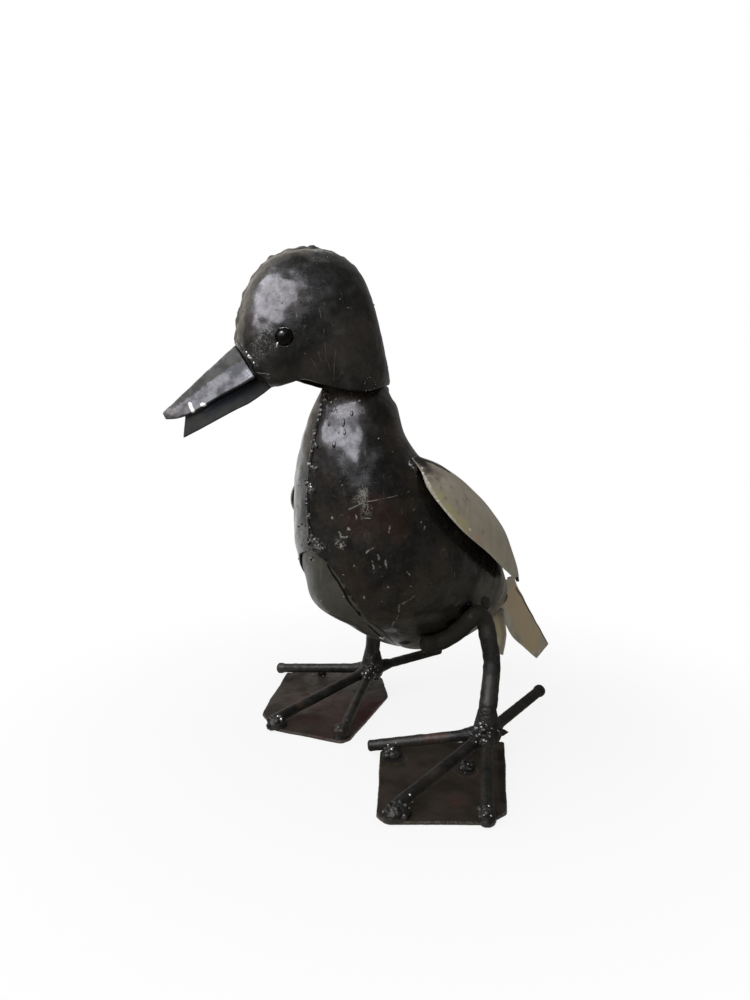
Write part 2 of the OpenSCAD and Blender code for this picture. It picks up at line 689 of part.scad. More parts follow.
// Start and end of each hip bead: station down the body, place round the body
hip_bead_shares = [[[0.69, 0.515], [0.70, 0.45]], [[0.71, 0.56], [0.75, 0.58]]];
module hip_weld_left() color(weld_grey) place() hip_weld();
module hip_weld_right() color(weld_grey) right_side() hip_weld();

// Weld ball that joins the leg and the four toes, flat on top under the leg bar
module ankle_weld(ankle) translate(ankle) difference() {
    sphere(d = ankle_d, $fn = round_sides);
    translate([-ankle_d, -ankle_d, ankle_top]) cube(2 * ankle_d);
}
module ankle_weld_left() color(weld_grey) place() ankle_weld(left_ankle);
module ankle_weld_right() color(weld_grey) place() ankle_weld(right_ankle);

// Height of the axis of a front toe at its tip, where it rests on the foot plate
toe_tip_z = plate_t + toe_d / 2 + weld_gap;
function toe_tip(ankle, length, turn, z) = [ankle.x + length * sin(turn), ankle.y - length * cos(turn), z];
// Straight round bar from an ankle towards a point
module rod(ankle, tip, d, share) translate(ankle) aim(tip - ankle)
    cylinder(d = d, h = share * norm(tip - ankle), $fn = round_sides);
// One straight toe from the ankle weld to its tip, cut away where it meets the toe beside it
module toe(ankle, tip, beside) difference() {
    rod(ankle, tip, toe_d, 1);
    translate(ankle) sphere(d = ankle_d + 2 * weld_gap, $fn = round_sides);
    for (other = beside) rod(ankle, other, toe_d + 2 * weld_gap, 1);
}
left_tips = [toe_tip(left_ankle, left_inner_toe_l, left_toe_turns[0], toe_tip_z),
    toe_tip(left_ankle, left_middle_toe_l, left_toe_turns[1], toe_tip_z),
    toe_tip(left_ankle, left_outer_toe_l, left_toe_turns[2], toe_tip_z),
    toe_tip(left_ankle, left_rear_toe_l, left_toe_turns[3], rear_tip_z)];
right_tips = [toe_tip(right_ankle, right_outer_toe_l, right_toe_turns[0], toe_tip_z),
    toe_tip(right_ankle, right_middle_toe_l, right_toe_turns[1], toe_tip_z),
    toe_tip(right_ankle, right_inner_toe_l, right_toe_turns[2], toe_tip_z),
    toe_tip(right_ankle, right_rear_toe_l, right_toe_turns[3], rear_tip_z)];
module toe_left_inner() color(dark_steel) place() toe(left_ankle, left_tips[0], []);
module toe_left_middle() color(dark_steel) place() toe(left_ankle, left_tips[1], [left_tips[2]]);
module toe_left_outer() color(dark_steel) place() toe(left_ankle, left_tips[2], []);
module toe_left_rear() color(dark_steel) place() toe(left_ankle, left_tips[3], []);
module toe_right_outer() color(dark_steel) place() toe(right_ankle, right_tips[0], []);
module toe_right_middle() color(dark_steel) place() toe(right_ankle, right_tips[1], [right_tips[2]]);
module toe_right_inner() color(dark_steel) place() toe(right_ankle, right_tips[2], []);
module toe_right_rear() color(dark_steel) place() toe(right_ankle, right_tips[3], []);

// Toe number and place along it of each weld lump on a foot plate
left_lump_shares = [[0, 0.78], [1, 0.42], [1, 0.9], [2, 0.9]];
right_lump_shares = [[0, 0.78], [1, 0.9], [2, 0.9]];
// Weld lump on both sides of a toe, between it and the plate
module toe_lump(ankle, tip, share) {
    on = ankle + (tip - ankle) * share;
    difference() {
        translate([on.x, on.y, on.z + (toe_d - toe_weld_d) / 2 - weld_gap])
            sphere(d = toe_weld_d, $fn = round_sides);
        rod(ankle, tip, toe_d + 2 * weld_gap, 2);
        translate([on.x - toe_weld_d, on.y - toe_weld_d, plate_t + weld_gap - 2 * toe_weld_d])
            cube(2 * toe_weld_d);
    }
}
module toe_welds_left() color(weld_grey) place()
    for (q = left_lump_shares) toe_lump(left_ankle, left_tips[q[0]], q[1]);
module toe_welds_right() color(weld_grey) place()
    for (q = right_lump_shares) toe_lump(right_ankle, right_tips[q[0]], q[1]);

// Flat sheet plates that the duck stands on
module foot_plate(ankle, shares) translate([ankle.x, ankle.y, 0])
    linear_extrude(plate_t) polygon(shares * plate_l);
module foot_plate_left() color(rust_brown) place() foot_plate(left_ankle, left_plate_shares);
module foot_plate_right() color(rust_brown) place() foot_plate(right_ankle, right_plate_shares);

// Furthest points of the duck each way, and the middle between them
function toe_reach(ankle, tip, k) = toe_d / 2 * sqrt(1 - pow(unit(tip - ankle)[k], 2));
x_low = right_tips[0].x - toe_reach(right_ankle, right_tips[0], 0);
x_high = left_tips[2].x + toe_reach(left_ankle, left_tips[2], 0);
bill_tip = [for (j = [0:bill_cols]) for (off = [0, -sheet_t])
    bill_skin(upper_bill_shares, upper_half, 1, 2 * j / bill_cols - 1, off)];
y_low = neck_y + min([for (p = bill_tip) p.y * cos(head_turn) - p.x * sin(head_turn)]);
y_high = max([for (c = tail_across) for (off = [0, -tail_t]) tail_skin(1, c, off).y]);
middle = [(x_low + x_high) / 2, (y_low + y_high) / 2];

head_left_half();
head_right_half();
crown_weld();
eye_left();
eye_right();
upper_bill();
lower_bill();
bill_weld();
neck_weld();
body_left_half();
body_right_half();
breast_weld();
back_weld();
belly_gusset();
gusset_weld();
wing_left();
wing_right();
wing_weld_left();
wing_weld_right();
tail_plate();
tail_under_plate();
tail_weld();
leg_left();
leg_right();
hip_weld_left();
hip_weld_right();
ankle_weld_left();
ankle_weld_right();
toe_left_inner();
toe_left_middle();
toe_left_outer();
toe_left_rear();
toe_right_inner();
toe_right_middle();
toe_right_outer();
toe_right_rear();
toe_welds_left();
toe_welds_right();
foot_plate_left();
foot_plate_right();
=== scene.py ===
import math

import bmesh
import bpy
import numpy as np
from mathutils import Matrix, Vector
from mathutils.bvhtree import BVHTree


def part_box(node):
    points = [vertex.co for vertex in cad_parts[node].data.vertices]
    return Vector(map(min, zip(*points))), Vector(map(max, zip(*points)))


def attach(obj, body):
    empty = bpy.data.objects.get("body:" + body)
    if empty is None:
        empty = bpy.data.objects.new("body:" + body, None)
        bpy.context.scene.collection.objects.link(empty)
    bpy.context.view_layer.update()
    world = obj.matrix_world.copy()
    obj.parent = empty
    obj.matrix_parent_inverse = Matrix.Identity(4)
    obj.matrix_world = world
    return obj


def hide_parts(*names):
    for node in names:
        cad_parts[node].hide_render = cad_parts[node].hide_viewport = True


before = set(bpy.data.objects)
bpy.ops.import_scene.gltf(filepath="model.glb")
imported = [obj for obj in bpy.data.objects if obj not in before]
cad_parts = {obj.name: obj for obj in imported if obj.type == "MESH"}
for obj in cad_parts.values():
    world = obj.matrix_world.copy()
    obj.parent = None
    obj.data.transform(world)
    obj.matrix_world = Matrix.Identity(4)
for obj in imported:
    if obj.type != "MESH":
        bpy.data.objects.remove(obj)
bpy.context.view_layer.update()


# Sizes in millimetres
BODY_L, BODY_W, BODY_H, BELLY_Z, BREAST = 206, 122, 212, 60, 108
HEAD_L, HEAD_W, HEAD_H, HEAD_Z, HEAD_TURN = 103, 74, 94, 258.5, 27
SHEET, SEAM, WELD_GAP = 1.5, 0.3, 0.15
STANCE, STRIDE, ANKLE_Z, ANKLE_D = 150, 20, 20, 22
LEG_D, TOE_D, PLATE_T, PLATE_L = 12.5, 8, 2, 110
BILL_REACH, BILL_DROP, BILL_W = 47.5, 45, 30
TAIL_L, TAIL_D, TAIL_W, TAIL_SLOPE = 92, 27, 8, 52
EYE_D = 11
BEAD_W = 6

NECK_BACK = 0.9526
# Front point Y and Z, back point Y and Z, half width, from the neck's top down to the rump
BODY = [
    [0.10, 1.00, 0.303, NECK_BACK, 0.30],
    [0.09, 0.96, 0.31, NECK_BACK - 0.0175, 0.33],
    [0.073, 0.92, 0.318, NECK_BACK - 0.0425, 0.405],
    [0.054, 0.88, 0.33, 0.89, 0.475],
    [0.036, 0.83, 0.34, 0.85, 0.54],
    [0.019, 0.765, 0.352, 0.80, 0.635],
    [0.007, 0.695, 0.395, 0.74, 0.735],
    [0.0, 0.615, 0.482, 0.68, 0.84],
    [0.0, 0.52, 0.59, 0.595, 0.94],
    [0.005, 0.42, 0.69, 0.495, 1.0],
    [0.028, 0.311, 0.78, 0.39, 0.99],
    [0.062, 0.222, 0.855, 0.295, 0.93],
    [0.184, 0.144, 0.905, 0.215, 0.78],
    [0.315, 0.062, 0.93, 0.16, 0.57],
    [0.466, 0.012, 0.94, 0.125, 0.37],
    [0.63, 0.0, 0.94, 0.10, 0.20],
    [0.77, 0.012, 0.93, 0.083, 0.09],
]
# Crown point Y and Z, rim point Y and Z, half width, share of a half turn
HEAD = [
    [0.0, 0.314, 0.107, 0.101, 0.405, 0.70],
    [0.008, 0.43, 0.175, 0.044, 0.62, 0.78],
    [0.03, 0.555, 0.243, 0.03, 0.78, 0.81],
    [0.077, 0.70, 0.32, 0.055, 0.905, 0.79],
    [0.148, 0.824, 0.398, 0.075, 0.97, 0.76],
    [0.252, 0.926, 0.485, 0.053, 1.0, 0.73],
    [0.408, 0.983, 0.573, 0.027, 1.0, 0.71],
    [0.573, 0.98, 0.66, 0.011, 1.0, 0.70],
    [0.73, 0.91, 0.738, 0.0, 0.97, 0.69],
    [0.83, 0.777, 0.806, 0.0, 0.905, 0.69],
    [0.889, 0.605, 0.864, 0.011, 0.8, 0.68],
    [0.936, 0.40, 0.918, 0.027, 0.65, 0.68],
    [0.975, 0.225, 0.962, 0.037, 0.44, 0.67],
    [1.008, 0.085, 1.0, 0.043, 0.14, 0.66],
]
# Ridge forwards and down, free edge forwards and down, half width
UPPER_BILL = [
    [0.006, 0.0, -0.23, 0.455, 1.0],
    [0.253, 0.233, 0.021, 0.604, 0.867],
    [0.505, 0.478, 0.295, 0.76, 0.7],
    [0.758, 0.727, 0.568, 0.935, 0.5],
    [0.926, 0.893, 0.80, 1.035, 0.3],
    [1.0, 0.968, 0.965, 1.05, 0.12],
]
LOWER_BILL = [
    [-0.262, 0.48, -0.49, 0.583, 1.0],
    [0.0, 0.63, -0.21, 0.80, 0.92],
    [0.23, 0.76, 0.085, 0.96, 0.8],
    [0.463, 0.885, 0.38, 1.13, 0.64],
    [0.69, 1.0, 0.725, 1.32, 0.48],
]
# Station down the body, lower and upper edge round the body, standoff of each
WING = [
    [0.375, 0.60, 0.66, 0.01, 0.01],
    [0.41, 0.573, 0.74, 0.15, 0.13],
    [0.45, 0.521, 0.81, 0.35, 0.15],
    [0.50, 0.509, 0.865, 0.65, 0.2],
    [0.55, 0.535, 0.885, 0.85, 0.27],
    [0.60, 0.59, 0.88, 0.95, 0.35],
    [0.65, 0.645, 0.86, 0.90, 0.45],
    [0.71, 0.735, 0.79, 0.75, 0.65],
]
# How far the belly's opening reaches round the left side and round the right side
GUSSET = [[0.07, 0.08], [0.13, 0.17], [0.165, 0.235], [0.17, 0.25], [0.155, 0.235], [0.13, 0.20],
          [0.11, 0.16], [0.09, 0.12], [0.05, 0.05]]
# Fold along and across the tail, free edge along and across, half width
TAIL = [
    [-0.02, -0.902, -0.14, -0.27, 0.6],
    [0.166, -0.834, 0.132, 0.233, 0.97],
    [0.418, -0.82, 0.394, 0.338, 0.9],
    [0.682, -0.799, 0.627, 0.161, 0.85],
    [0.933, -0.783, 0.869, -0.043, 0.8],
]
LEG_WRAP = [[0.783, 0.278], [0.787, 0.321], [0.776, 0.377], [0.757, 0.425], [0.735, 0.466], [0.723, 0.50]]
LEG_BOW = [[0.22, 0.45], [0.5, 1.0], [0.76, 0.85], [0.92, 0.65]]
PLATES = {
    "left": [[-0.509, -0.461], [0.059, -0.972], [0.151, -0.978], [0.511, -0.557],
             [0.512, -0.4], [-0.071, 0.263], [-0.339, -0.08]],
    "right": [[-0.716, -0.333], [-0.145, -0.932], [0.131, -0.993], [0.586, -0.761],
              [0.59, -0.687], [0.197, -0.005], [-0.118, 0.204], [-0.386, 0.132]],
}
# Name, length and direction of each toe, in degrees from straight ahead
TOES = {
    "left": [("inner", 84, -46), ("middle", 100, 7.5), ("outer", 84, 42.3), ("rear", 88, -167)],
    "right": [("outer", 94, -63.4), ("middle", 112, 5.1), ("inner", 104, 37.2), ("rear", 73, 171.3)],
}
REAR_TIP_Z = 23.5
KNOBBED = [("left", "rear"), ("right", "outer")]
ANKLES = {"left": (STANCE / 2, -STRIDE / 2, ANKLE_Z), "right": (-STANCE / 2, STRIDE / 2, ANKLE_Z)}
BOWS = {"left": 10.5, "right": 2}
SIDES = ("left", "right")

ankle_box = [1000 * np.array(p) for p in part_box("ankle_weld_left")]
MIDDLE = np.array([*(np.array(ANKLES["left"][:2]) - ((ankle_box[0] + ankle_box[1]) / 2)[:2]), 0])
NECK_Y = BODY_L * (BODY[2][0] + BODY[2][2]) / 2 - BREAST
FOREHEAD = HEAD_L - BODY_L * (BODY[0][2] - (BODY[2][0] + BODY[2][2]) / 2) - 0.85


# Curves and surfaces
def unit(v):
    return v / np.maximum(np.linalg.norm(v, axis=-1, keepdims=True), 1e-9)


def spline(table, t):
    """Row of a table at t from 0 to 1, on a smooth curve through its rows."""
    rows = np.asarray(table, float)
    s = np.clip(np.asarray(t, float), 0, 1) * (len(rows) - 1)
    i = np.minimum(s.astype(int), len(rows) - 2)
    u = (s - i)[..., None]
    a, b, c, d = (rows[np.clip(i + k, 0, len(rows) - 1)] for k in (-1, 0, 1, 2))
    return b + u / 2 * (c - a + u * (2 * a - 5 * b + 4 * c - d + u * (3 * (b - c) + d - a)))


def ripple(p, length, seed):
    """Smooth seeded unevenness from about -1 to 1, with bumps about that long."""
    waves = 12
    rng = np.random.default_rng(seed)
    k = unit(rng.normal(size=(waves, 3))) * 2 * np.pi / length * rng.uniform(0.6, 1.5, (waves, 1))
    return np.sin(p @ k.T + rng.uniform(0, 2 * np.pi, waves)).sum(-1) / math.sqrt(waves)


def body_point(t, a):
    fy, fz, by, bz, w = np.moveaxis(spline(BODY, t), -1, 0)
    c, s = np.cos(np.radians(a)), np.sin(np.radians(a))
    fy, by = fy * BODY_L - BREAST, by * BODY_L - BREAST
    fz, bz = fz * BODY_H + BELLY_Z, bz * BODY_H + BELLY_Z
    return np.stack([w * BODY_W / 2 * s, (fy + by) / 2 - (by - fy) / 2 * c, (fz + bz) / 2 - (bz - fz) / 2 * c],
        -1)


def body_normal(t, a):
    down = body_point(np.minimum(1, t + 0.01), a) - body_point(np.maximum(0, t - 0.01), a)
    return unit(np.cross(down, body_point(t, a + 1) - body_point(t, a - 1)))


def head_point(t, v):
    cy, cz, ry, rz, w, turn = np.moveaxis(spline(HEAD, t), -1, 0)
    a = np.radians(180 * turn * v)
    s = (1 - np.cos(a)) / (1 - np.cos(np.radians(180 * turn)))
    y, z = cy + (ry - cy) * s, cz + (rz - cz) * s
    return np.stack([w * HEAD_W / 2 * np.sin(a), y * HEAD_L - FOREHEAD, z * HEAD_H + HEAD_Z], -1)


def head_normal(t, v):
    back = head_point(np.minimum(1, t + 0.01), v) - head_point(np.maximum(0, t - 0.01), v)
    return -unit(np.cross(back, head_point(t, v + 0.01) - head_point(t, v - 0.01)))


def folded(table, root, along, down, half, t, c, fold=0.18):
    """Point of a folded sheet: c runs from -1 to 1 across the fold between its free edges."""
    r = spline(table, t)
    s = ((np.sqrt(c * c + fold**2) - fold) / (math.sqrt(1 + fold**2) - fold))[..., None]
    ridge = root + along * r[..., :1] + down * r[..., 1:2]
    edge = root + along * r[..., 2:3] + down * r[..., 3:4]
    return ridge + (edge - ridge) * s + np.stack([half(r[..., 4]) * c, 0 * c, 0 * c], -1)


def lifted(point, t, c, off):
    """Point of a surface moved off it along its normal."""
    ahead = point(np.minimum(1, t + 0.01), c) - point(np.maximum(0, t - 0.01), c)
    across = point(t, c + 0.01) - point(t, c - 0.01)
    return point(t, c) + np.asarray(off)[..., None] * unit(np.cross(ahead, across))


def body_skin(t, a, off=0.0):
    return body_point(t, a) + np.asarray(off)[..., None] * body_normal(t, a)


def head_skin(t, v, off=0.0):
    return head_point(t, v) + np.asarray(off)[..., None] * head_normal(t, v)


def on_body(p, mirror=False):
    """Points of the duck's own frame as metres of the part's frame."""
    p = np.array(p, float)
    if mirror:
        p = p * [-1, 1, 1]
    return (p - MIDDLE) / 1000


def on_head(p, mirror=False):
    p = np.array(p, float) * ([-1, 1, 1] if mirror else [1, 1, 1])
    c, s = math.cos(math.radians(HEAD_TURN)), math.sin(math.radians(HEAD_TURN))
    x, y = p[..., 0] * c + p[..., 1] * s, -p[..., 0] * s + p[..., 1] * c
    return on_body(np.stack([x, y + NECK_Y, p[..., 2]], -1))


# Meshes
def grid_faces(n, m, first=0):
    i, j = np.meshgrid(np.arange(n - 1), np.arange(m - 1), indexing="ij")
    a = (first + i * m + j).ravel()
    return np.stack([a, a + 1, a + m + 1, a + m], -1)


def sheet(outer, inner, bulge=0.35):
    """Closed sheet between two grids of points, with a rounded edge all round."""
    n, m = outer.shape[:2]
    size = n * m
    ring = [(0, j) for j in range(m)] + [(i, m - 1) for i in range(1, n)]
    ring += [(n - 1, j) for j in range(m - 2, -1, -1)] + [(i, 0) for i in range(n - 2, 0, -1)]
    ring = np.array(ring)
    inside = np.clip(ring, 1, [n - 2, m - 2])
    o, k = outer[ring[:, 0], ring[:, 1]], inner[ring[:, 0], ring[:, 1]]
    away = unit(o - outer[inside[:, 0], inside[:, 1]])
    edge = (o + k) / 2 + away * bulge * np.linalg.norm(o - k, axis=-1, keepdims=True)
    index = ring[:, 0] * m + ring[:, 1]
    after = np.roll(np.arange(len(ring)), -1)
    e = 2 * size + np.arange(len(ring))
    faces = np.concatenate([
        grid_faces(n, m), grid_faces(n, m, size)[:, ::-1],
        np.stack([index, e, e[after], index[after]], -1),
        np.stack([e, size + index, size + index[after], e[after]], -1)])
    return np.concatenate([outer.reshape(-1, 3), inner.reshape(-1, 3), edge]), faces


def ring_faces(n, m):
    """Faces over n rings of m points each, closed at both ends."""
    i, j = np.meshgrid(np.arange(n - 1), np.arange(m), indexing="ij")
    k = (j + 1) % m
    faces = np.stack([i * m + j, i * m + k, (i + 1) * m + k, (i + 1) * m + j], -1).reshape(-1, 4)
    return [*faces.tolist(), list(range(m))[::-1], list(range((n - 1) * m, n * m))]


def tube(path, radius, sides=28, cap=4):
    """Round bar along a path with rounded ends; radius is one number or one for each point."""
    path = np.asarray(path, float)
    radius = np.broadcast_to(radius, len(path)).astype(float)
    along = unit(np.gradient(path, axis=0))

    def end(q, way, bends):
        return [(path[q] + way * along[q] * radius[q] * 0.35 * math.cos(b), along[q],
                 radius[q] * (1 - 0.3 * math.cos(b) ** 2)) for b in bends]

    side = unit(np.cross(along[0], [0.3, 1, 0.2]))
    turn = np.arange(sides) * 2 * np.pi / sides
    rings = []
    for centre, d, r in [*end(0, -1, np.linspace(0.15, math.pi / 2, cap, endpoint=False)),
            *zip(path, along, radius), *end(-1, 1, np.linspace(math.pi / 2, 0.15, cap + 1)[1:])]:
        side = unit(side - d * (side @ d))
        up = np.cross(d, side)
        rings.append(centre + r * (np.cos(turn)[:, None] * side + np.sin(turn)[:, None] * up))
    return np.concatenate(rings), ring_faces(len(rings), sides)


def run_of(points):
    """Length along the points, from 0."""
    return np.concatenate([[0], np.cumsum(np.linalg.norm(np.diff(points, axis=0), axis=1))])


def merged(names):
    """Vertices and faces of some pieces, for ray casts."""
    verts, faces = [], []
    for name in names:
        mesh = bpy.data.objects[name].data
        first = len(verts)
        verts += [v.co.copy() for v in mesh.vertices]
        faces += [[first + i for i in f.vertices] for f in mesh.polygons]
    return verts, faces


def mesh_of(name, verts, faces):
    mesh = bpy.data.meshes.new(name)
    mesh.from_pydata(np.asarray(verts).tolist(), [], [list(map(int, f)) for f in faces])
    mesh.update()
    return mesh


def add(name, data):
    """New object in the scene."""
    obj = bpy.data.objects.new(name, data)
    bpy.context.scene.collection.objects.link(obj)
    return obj


def piece(name, shape, material, nodes, smooth_angle=None):
    """A shown piece of the duck that stands for CAD nodes and takes a material."""
    obj = add(name, mesh_of(name, *shape))
    tidy_normals(obj, smooth_angle)
    return dress(obj, material, nodes)


def tidy_normals(obj, smooth_angle=None):
    bm = bmesh.new()
    bm.from_mesh(obj.data)
    bmesh.ops.recalc_face_normals(bm, faces=bm.faces)
    bm.to_mesh(obj.data)
    bm.free()
    obj.data.shade_smooth()
    if smooth_angle:
        obj.data.set_sharp_from_angle(angle=math.radians(smooth_angle))


def dress(obj, material, nodes):
    obj.data.materials.clear()
    obj.data.materials.append(material)
    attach(obj, "root")
    if nodes:
        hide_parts(*nodes)
    return obj


def apply_modifiers(obj):
    graph = bpy.context.evaluated_depsgraph_get()
    done = bpy.data.meshes.new_from_object(obj.evaluated_get(graph))
    obj.modifiers.clear()
    old = obj.data
    obj.data = done
    bpy.data.meshes.remove(old)


ICO = bmesh.new()
bmesh.ops.create_icosphere(ICO, subdivisions=2, radius=1)
ICO_V = np.array([v.co for v in ICO.verts])
ICO_F = np.array([[v.index for v in f.verts] for f in ICO.faces])
ICO.free()


def lumps(name, balls, material, nodes, rough, seed, voxel=0.45, cut=None, soft=4):
    """Molten lumps: balls (centre, radii, outward) in mm of the part's frame, run together."""
    verts, faces, count = [], [], 0
    for centre, radii, out, *ahead in balls:
        z = unit(np.asarray(out, float))
        x = np.asarray(ahead[0]) if ahead else unit(np.cross(z, [0.31, 0.2, 0.93]))
        y = np.cross(z, x)
        rx, ry, rz = np.broadcast_to(radii, 3)
        verts.append(np.asarray(centre) + ICO_V @ np.stack([x * rx, y * ry, z * rz]))
        faces.append(ICO_F + count)
        count += len(ICO_V)
    obj = add(name, mesh_of(name, np.concatenate(verts) / 1000, np.concatenate(faces)))
    m = obj.modifiers.new("run", "REMESH")
    m.mode, m.voxel_size = "VOXEL", voxel / 1000
    m = obj.modifiers.new("soft", "SMOOTH")
    m.iterations, m.factor = soft, 0.5
    apply_modifiers(obj)
    co, normals = (np.empty(len(obj.data.vertices) * 3) for _ in range(2))
    obj.data.vertices.foreach_get("co", co)
    obj.data.vertices.foreach_get("normal", normals)
    co, normals = co.reshape(-1, 3) * 1000, normals.reshape(-1, 3)
    co = co + normals * (rough * (ripple(co, 3.2, seed) + 0.5 * ripple(co, 1.5, seed + 1)))[:, None]
    if cut is not None:
        co[:, 2] = np.maximum(co[:, 2], cut)
    obj.data.vertices.foreach_set("co", (co / 1000).ravel())
    obj.data.update()
    tidy_normals(obj)
    return dress(obj, material, nodes)


# Materials
def bare(name):
    material = bpy.data.materials.new(name)
    material.use_nodes = True
    return material


head_steel, body_steel, gusset_steel, bill_steel, lower_steel, bar_steel = map(
    bare, ("head steel", "body steel", "gusset steel", "bill steel", "lower bill steel", "bar steel"))
cream, wing_back, plate_mat, weld_mat, eye_mat, burr_and_glint_mat = map(
    bare, ("cream paint", "wing underside", "rusty plate", "bare weld", "eye", "bright burr and painted glints"))


class Nodes:
    """Builds nodes in one tree."""

    def __init__(self, tree):
        self.tree = tree

    def node(self, kind, **settings):
        n = self.tree.nodes.new(kind)
        for key, value in settings.items():
            setattr(n, key, value)
        return n

    def feed(self, socket, value):
        if isinstance(value, bpy.types.NodeSocket):
            self.tree.links.new(value, socket)
        elif socket.type == "RGBA":
            socket.default_value = (*value, 1)
        elif socket.type == "VECTOR":
            socket.default_value = [float(x) for x in value]
        else:
            socket.default_value = float(value)

    def feed_all(self, node, values):
        for key, value in values.items():
            self.feed(node.inputs[key], value)

    def vector(self, operation, a, b=None, **more):
        n = self.node("ShaderNodeVectorMath", operation=operation)
        self.feed_all(n, {0: a, **({} if b is None else {1: b}), **more})
        return n.outputs["Value" if operation in ("DISTANCE", "DOT_PRODUCT", "LENGTH") else "Vector"]

    def math(self, operation, *values, clamp=False):
        n = self.node("ShaderNodeMath", operation=operation, use_clamp=clamp)
        self.feed_all(n, dict(enumerate(values)))
        return n.outputs[0]

    def less(self, value):
        return self.math("SUBTRACT", 1.0, value)

    def ramp(self, value, gain, base):
        return self.math("MULTIPLY_ADD", value, gain, base)

    def band(self, value, start, end, low=0.0, high=1.0, way="SMOOTHSTEP"):
        """Smooth step of a value from low at start to high at end."""
        n = self.node("ShaderNodeMapRange", interpolation_type=way)
        self.feed_all(n, {"Value": value, "From Min": start, "From Max": end, "To Min": low, "To Max": high})
        return n.outputs["Result"]

    def chain(self, operation, values):
        out, *rest = values
        for value in rest:
            out = self.math(operation, out, value)
        return out

    def times(self, *values):
        return self.chain("MULTIPLY", values)

    def most(self, *values):
        return self.chain("MAXIMUM", values)

    def pale_rays(self):
        """1 for the rays to which floor and world look white."""
        path = self.node("ShaderNodeLightPath")
        return self.most(*(path.outputs[f"Is {kind} Ray"] for kind in ("Camera", "Glossy", "Transmission")))


class Shader(Nodes):
    """Nodes of one material, on the colour laid so far; lengths are in millimetres of the part's frame."""

    def __init__(self, material, seed):
        super().__init__(material.node_tree)
        place = self.node("ShaderNodeTexCoord").outputs["Object"]
        self.mm = self.vector("SCALE", place, Scale=1000)
        self.moved = self.vector("ADD", self.mm, (37.0 * seed, 11.0 * seed, 0))
        self.tone = None

    def noise(self, size, detail, rough=0.55, distortion=0.0, place=None):
        n = self.node("ShaderNodeTexNoise")
        self.feed_all(n, {"Vector": place or self.moved, "Scale": 1 / size, "Detail": detail,
            "Roughness": rough, "Distortion": distortion})
        return n.outputs["Fac"]

    def speck(self, size, start, end, detail=3.0, rough=0.55, low=0.0, high=1.0):
        return self.band(self.noise(size, detail, rough), start, end, low, high)

    def dots(self, size, share):
        """Round dots in the middle of cells of that size."""
        n = self.node("ShaderNodeTexVoronoi")
        self.feed_all(n, {"Vector": self.moved, "Scale": 1 / size})
        return self.band(n.outputs["Distance"], share, share / 2)

    def mix(self, share, a, b):
        n = self.node("ShaderNodeMix", data_type="RGBA")
        self.feed_all(n, {0: share, 6: a, 7: b})
        return n.outputs[2]

    def over(self, colour, *masks):
        """Lays a colour over the tone, as far as the product of the masks."""
        self.tone = self.mix(self.times(*masks), self.tone, colour)

    def stretched(self, scale, turn):
        n = self.node("ShaderNodeMapping")
        self.feed_all(n, {"Vector": self.moved, "Scale": scale, "Rotation": [math.radians(x) for x in turn]})
        return n.outputs["Vector"]

    def hairs(self, size, scale, turn, width, lift=0.55):
        """Thin broken hairlines, where a stretched noise crosses its middle."""
        wave = self.noise(size, 2, 0.5, 0.4, self.stretched(scale, turn))
        line = self.band(self.math("ABSOLUTE", self.math("SUBTRACT", wave, 0.5)), width, 0)
        return self.times(line, self.speck(size * 0.7, lift, lift + 0.08, 2))

    def near(self, rows, soft, ragged=0.0, grain=2.5):
        """1 inside spots with a soft or ragged edge; rows of a photo pixel or a point, and a radius."""
        away = []
        for *at, radius in rows:
            point = at[0] if len(at) == 1 else seen(*at)[0]
            away.append(self.math("SUBTRACT", self.vector("DISTANCE", self.mm, 1000 * np.asarray(point)),
                radius))
        gap = self.chain("MINIMUM", away)
        if ragged:
            gap = self.ramp(self.math("SUBTRACT", self.noise(grain, 4, 0.6), 0.5), 4 * ragged, gap)
        return self.band(gap, soft, -soft)

    def stroke(self, pixels, width, wander=0.0):
        """1 close to a line through what the photo shows at these pixels."""
        mm = self.mm
        if wander:
            shake = self.node("ShaderNodeTexNoise")
            self.feed_all(shake, {"Vector": self.mm, "Scale": 1 / 4})
            push = self.vector("SUBTRACT", shake.outputs["Color"], (0.5, 0.5, 0.5))
            mm = self.vector("ADD", self.mm, self.vector("SCALE", push, Scale=wander))
        points = [seen(*pixel)[0] for pixel in pixels]
        away = []
        for a, b in zip(points[:-1], points[1:]):
            a, span = 1000 * np.asarray(a), 1000 * (np.asarray(b) - np.asarray(a))
            offset = self.vector("SUBTRACT", mm, a)
            along = self.math("MULTIPLY", self.vector("DOT_PRODUCT", offset, span / (span @ span)), 1,
                clamp=True)
            away.append(self.vector("DISTANCE", offset, self.vector("SCALE", span, Scale=along)))
        return self.band(self.chain("MINIMUM", away), width, width * 0.35)

    def worn(self, start, end):
        """1 on outer edges, 0 on faces and in hollows."""
        return self.band(self.node("ShaderNodeNewGeometry").outputs["Pointiness"], start, end)

    def finish(self, rough, metal=None, coat=None, bumps=(), shine=None, **uniform):
        bsdf = self.tree.nodes["Principled BSDF"]
        given = {"Base Color": self.tone, "Roughness": rough, "Metallic": metal, "Coat Weight": coat,
                 "Specular IOR Level": shine}
        self.feed_all(bsdf, {key: value for key, value in given.items() if value is not None})
        for key, value in uniform.items():
            bsdf.inputs[key.replace("_", " ")].default_value = value
        normal = None
        for height, depth in bumps:
            n = self.node("ShaderNodeBump")
            self.feed_all(n, {"Strength": 1.0, "Distance": depth / 1000, "Height": height})
            if normal:
                self.feed(n.inputs["Normal"], normal)
            normal = n.outputs["Normal"]
        if normal:
            self.feed_all(bsdf, {"Normal": normal, "Coat Normal": normal})


